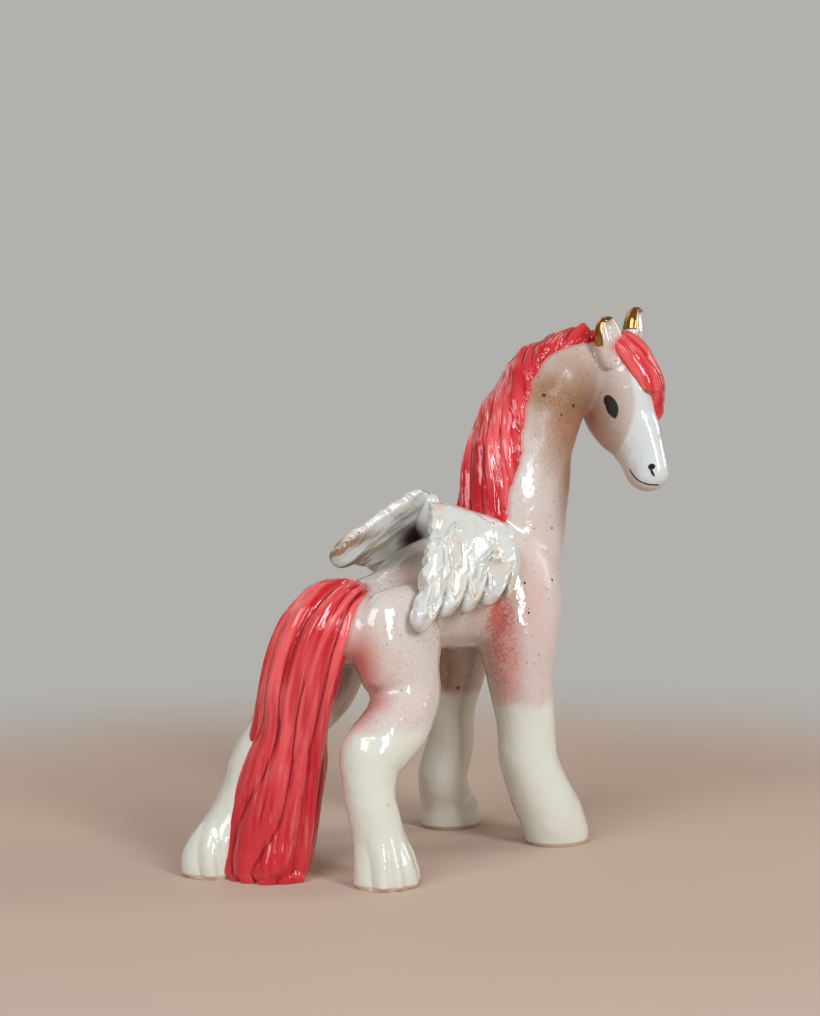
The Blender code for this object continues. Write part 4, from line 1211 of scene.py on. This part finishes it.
class PONY_OT_hair(bpy.types.Operator):
    """Models the mane, the forelock and the tail"""

    bl_idname = "pony.hair"
    bl_label = "Pony Hair"

    def execute(self, context):
        body, hair = context.scene.pony_body, context.scene.pony_hair
        glaze = hair_glaze(context.scene.pony_glazes)
        meshes = (mane_mesh(body, hair), forelock_mesh(body, hair), tail_mesh(hair))
        made = [piece_from(mesh, glaze).data for mesh in meshes]
        pony = bpy.data.objects["winged_pony_body"]
        mark_nearness(pony.data, "hair_edge", made, HAIR_EDGE_REACH)
        return {"FINISHED"}


class PONY_OT_wings(bpy.types.Operator):
    """Models the two wings"""

    bl_idname = "pony.wings"
    bl_label = "Pony Wings"

    def execute(self, context):
        glaze = wing_glaze(context.scene.pony_glazes)
        made = []
        for name, wing in (("right_wing", RIGHT_WING), ("left_wing", LEFT_WING)):
            made.append(piece_from(wing_mesh(context.scene.pony_wings, name, **wing), glaze).data)
        mark_nearness(bpy.data.objects["winged_pony_body"].data, "wing_edge", made, WING_EDGE_REACH)
        return {"FINISHED"}


class PONY_OT_gold(bpy.types.Operator):
    """Gilds the tips of the ears"""

    bl_idname = "pony.gold"
    bl_label = "Pony Gold"

    def execute(self, context):
        p = context.scene.pony_body
        glaze = gold_glaze(context.scene.pony_glazes)

        def lift(share, angle, centre):
            off = abs(off_angle(angle, math.pi + p.gold_turn))
            gilded = smooth_share(off, p.gold_half_cover + 0.12, p.gold_half_cover)
            gilded = max(gilded, smooth_share(share, 0.62, 0.74))
            return p.gold_thickness * gilded - p.ear_cup_depth * (1 - gilded)

        for name, side in (("right_ear_gold", -1), ("left_ear_gold", 1)):
            piece_from(limb(name, ear_stations(p, side)[2:], 64, lift), glaze)
        return {"FINISHED"}


class PONY_OT_stage(bpy.types.Operator):
    """Sets the floor, the backdrop, the camera and the lamps"""

    bl_idname = "pony.stage"
    bl_label = "Pony Stage"

    def execute(self, context):
        stage = context.scene.pony_stage
        self.make_camera(context, stage)
        self.make_floor(context, stage)
        self.make_world(context, stage)
        self.make_lamps(context)
        context.scene.view_settings.view_transform = "Standard"
        return {"FINISHED"}

    def make_camera(self, context, stage):
        data = bpy.data.cameras.new("camera")
        data.lens = stage.lens
        data.sensor_fit = "VERTICAL"
        data.sensor_height = 36
        data.clip_start = 0.01
        camera = bpy.data.objects.new("camera", data)
        camera.location = stage.camera_place
        camera.rotation_euler = (math.pi / 2 - stage.camera_dip, 0, stage.camera_heading)
        context.scene.collection.objects.link(camera)
        context.scene.camera = camera

    def make_floor(self, context, stage):
        """A plain floor, which fades into the backdrop's colour far from the figure."""
        shape = bmesh.new()
        bmesh.ops.create_circle(shape, cap_ends=True, segments=96, radius=FLOOR_RADIUS)
        mesh = mesh_of("floor", shape)
        floor = bpy.data.objects.new("floor", mesh)
        context.scene.collection.objects.link(floor)
        n = Nodes(bpy.data.materials.new("floor"))
        n.surface({"Base Color": stage.floor, "Roughness": 0.7})
        far = n.ramp(n.length_of(n.place()), 0.14, 0.34)
        glow = n.add("ShaderNodeEmission")
        n.set(glow.inputs["Color"], stage.backdrop)
        path = n.add("ShaderNodeLightPath")
        seen = n.most(path.outputs["Is Camera Ray"], path.outputs["Is Glossy Ray"])
        n.blend(n.times(far, seen), glow.outputs[0], "Material Output")
        mesh.materials.append(n.owner)

    def make_world(self, context, stage):
        n = Nodes(bpy.data.worlds.new("backdrop"))
        n.surface({"Color": (1.0, 0.86, 0.74, 1), "Strength": 0.24})
        seen = n.add("ShaderNodeBackground")
        n.set(seen.inputs["Color"], stage.backdrop)
        n.blend(n.add("ShaderNodeLightPath").outputs["Is Camera Ray"], seen.outputs[0], "World Output")
        context.scene.world = n.owner

    def make_lamps(self, context):
        for name, place, size, power, tint in (
            ("window", (-0.20, -1.1, 0.66), (0.27, 0.8), 10.0, (0.87, 0.945, 1.0)),
            ("sky", (-1.1, -0.25, 1.0), (0.9, 0.9), 12.0, (0.86, 0.94, 1.0)),
            ("side_window", (1.0, -0.55, 0.55), (0.4, 0.5), 3.0, (1.0, 0.95, 0.90)),
            ("rear_fill", (0.2, 1.0, 0.8), (0.8, 0.6), 1.2, (1.0, 0.92, 0.85)),
        ):
            data = bpy.data.lights.new(name, "AREA")
            data.shape = "RECTANGLE"
            data.size, data.size_y = size
            data.energy = power
            data.color = tint
            lamp = bpy.data.objects.new(name, data)
            lamp.location = place
            lamp.rotation_euler = (LAMPS_AIM - lamp.location).to_track_quat("-Z", "Y").to_euler()
            context.scene.collection.objects.link(lamp)


class PONY_PT_panel(bpy.types.Panel):
    """The pieces of the winged pony"""

    bl_label = "Winged Pony"
    bl_space_type = "VIEW_3D"
    bl_region_type = "UI"
    bl_category = "Pony"

    def draw(self, context):
        for operator in OPERATORS:
            self.layout.operator(operator.bl_idname)


GROUPS = {
    "pony_body": PonyBody,
    "pony_hair": PonyHair,
    "pony_wings": PonyWings,
    "pony_glazes": PonyGlazes,
    "pony_stage": PonyStage,
}
OPERATORS = (PONY_OT_body, PONY_OT_hair, PONY_OT_wings, PONY_OT_gold, PONY_OT_stage)


def register():
    for cls in (*GROUPS.values(), *OPERATORS, PONY_PT_panel):
        bpy.utils.register_class(cls)
    for name, cls in GROUPS.items():
        setattr(bpy.types.Scene, name, bpy.props.PointerProperty(type=cls))


def unregister():
    for name in GROUPS:
        delattr(bpy.types.Scene, name)
    for cls in reversed((*GROUPS.values(), *OPERATORS, PONY_PT_panel)):
        bpy.utils.unregister_class(cls)


def main():
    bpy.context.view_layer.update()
    register()
    bpy.ops.pony.body()
    bpy.ops.pony.hair()
    bpy.ops.pony.wings()
    bpy.ops.pony.gold()
    bpy.ops.pony.stage()


if __name__ == "__main__":
    main()
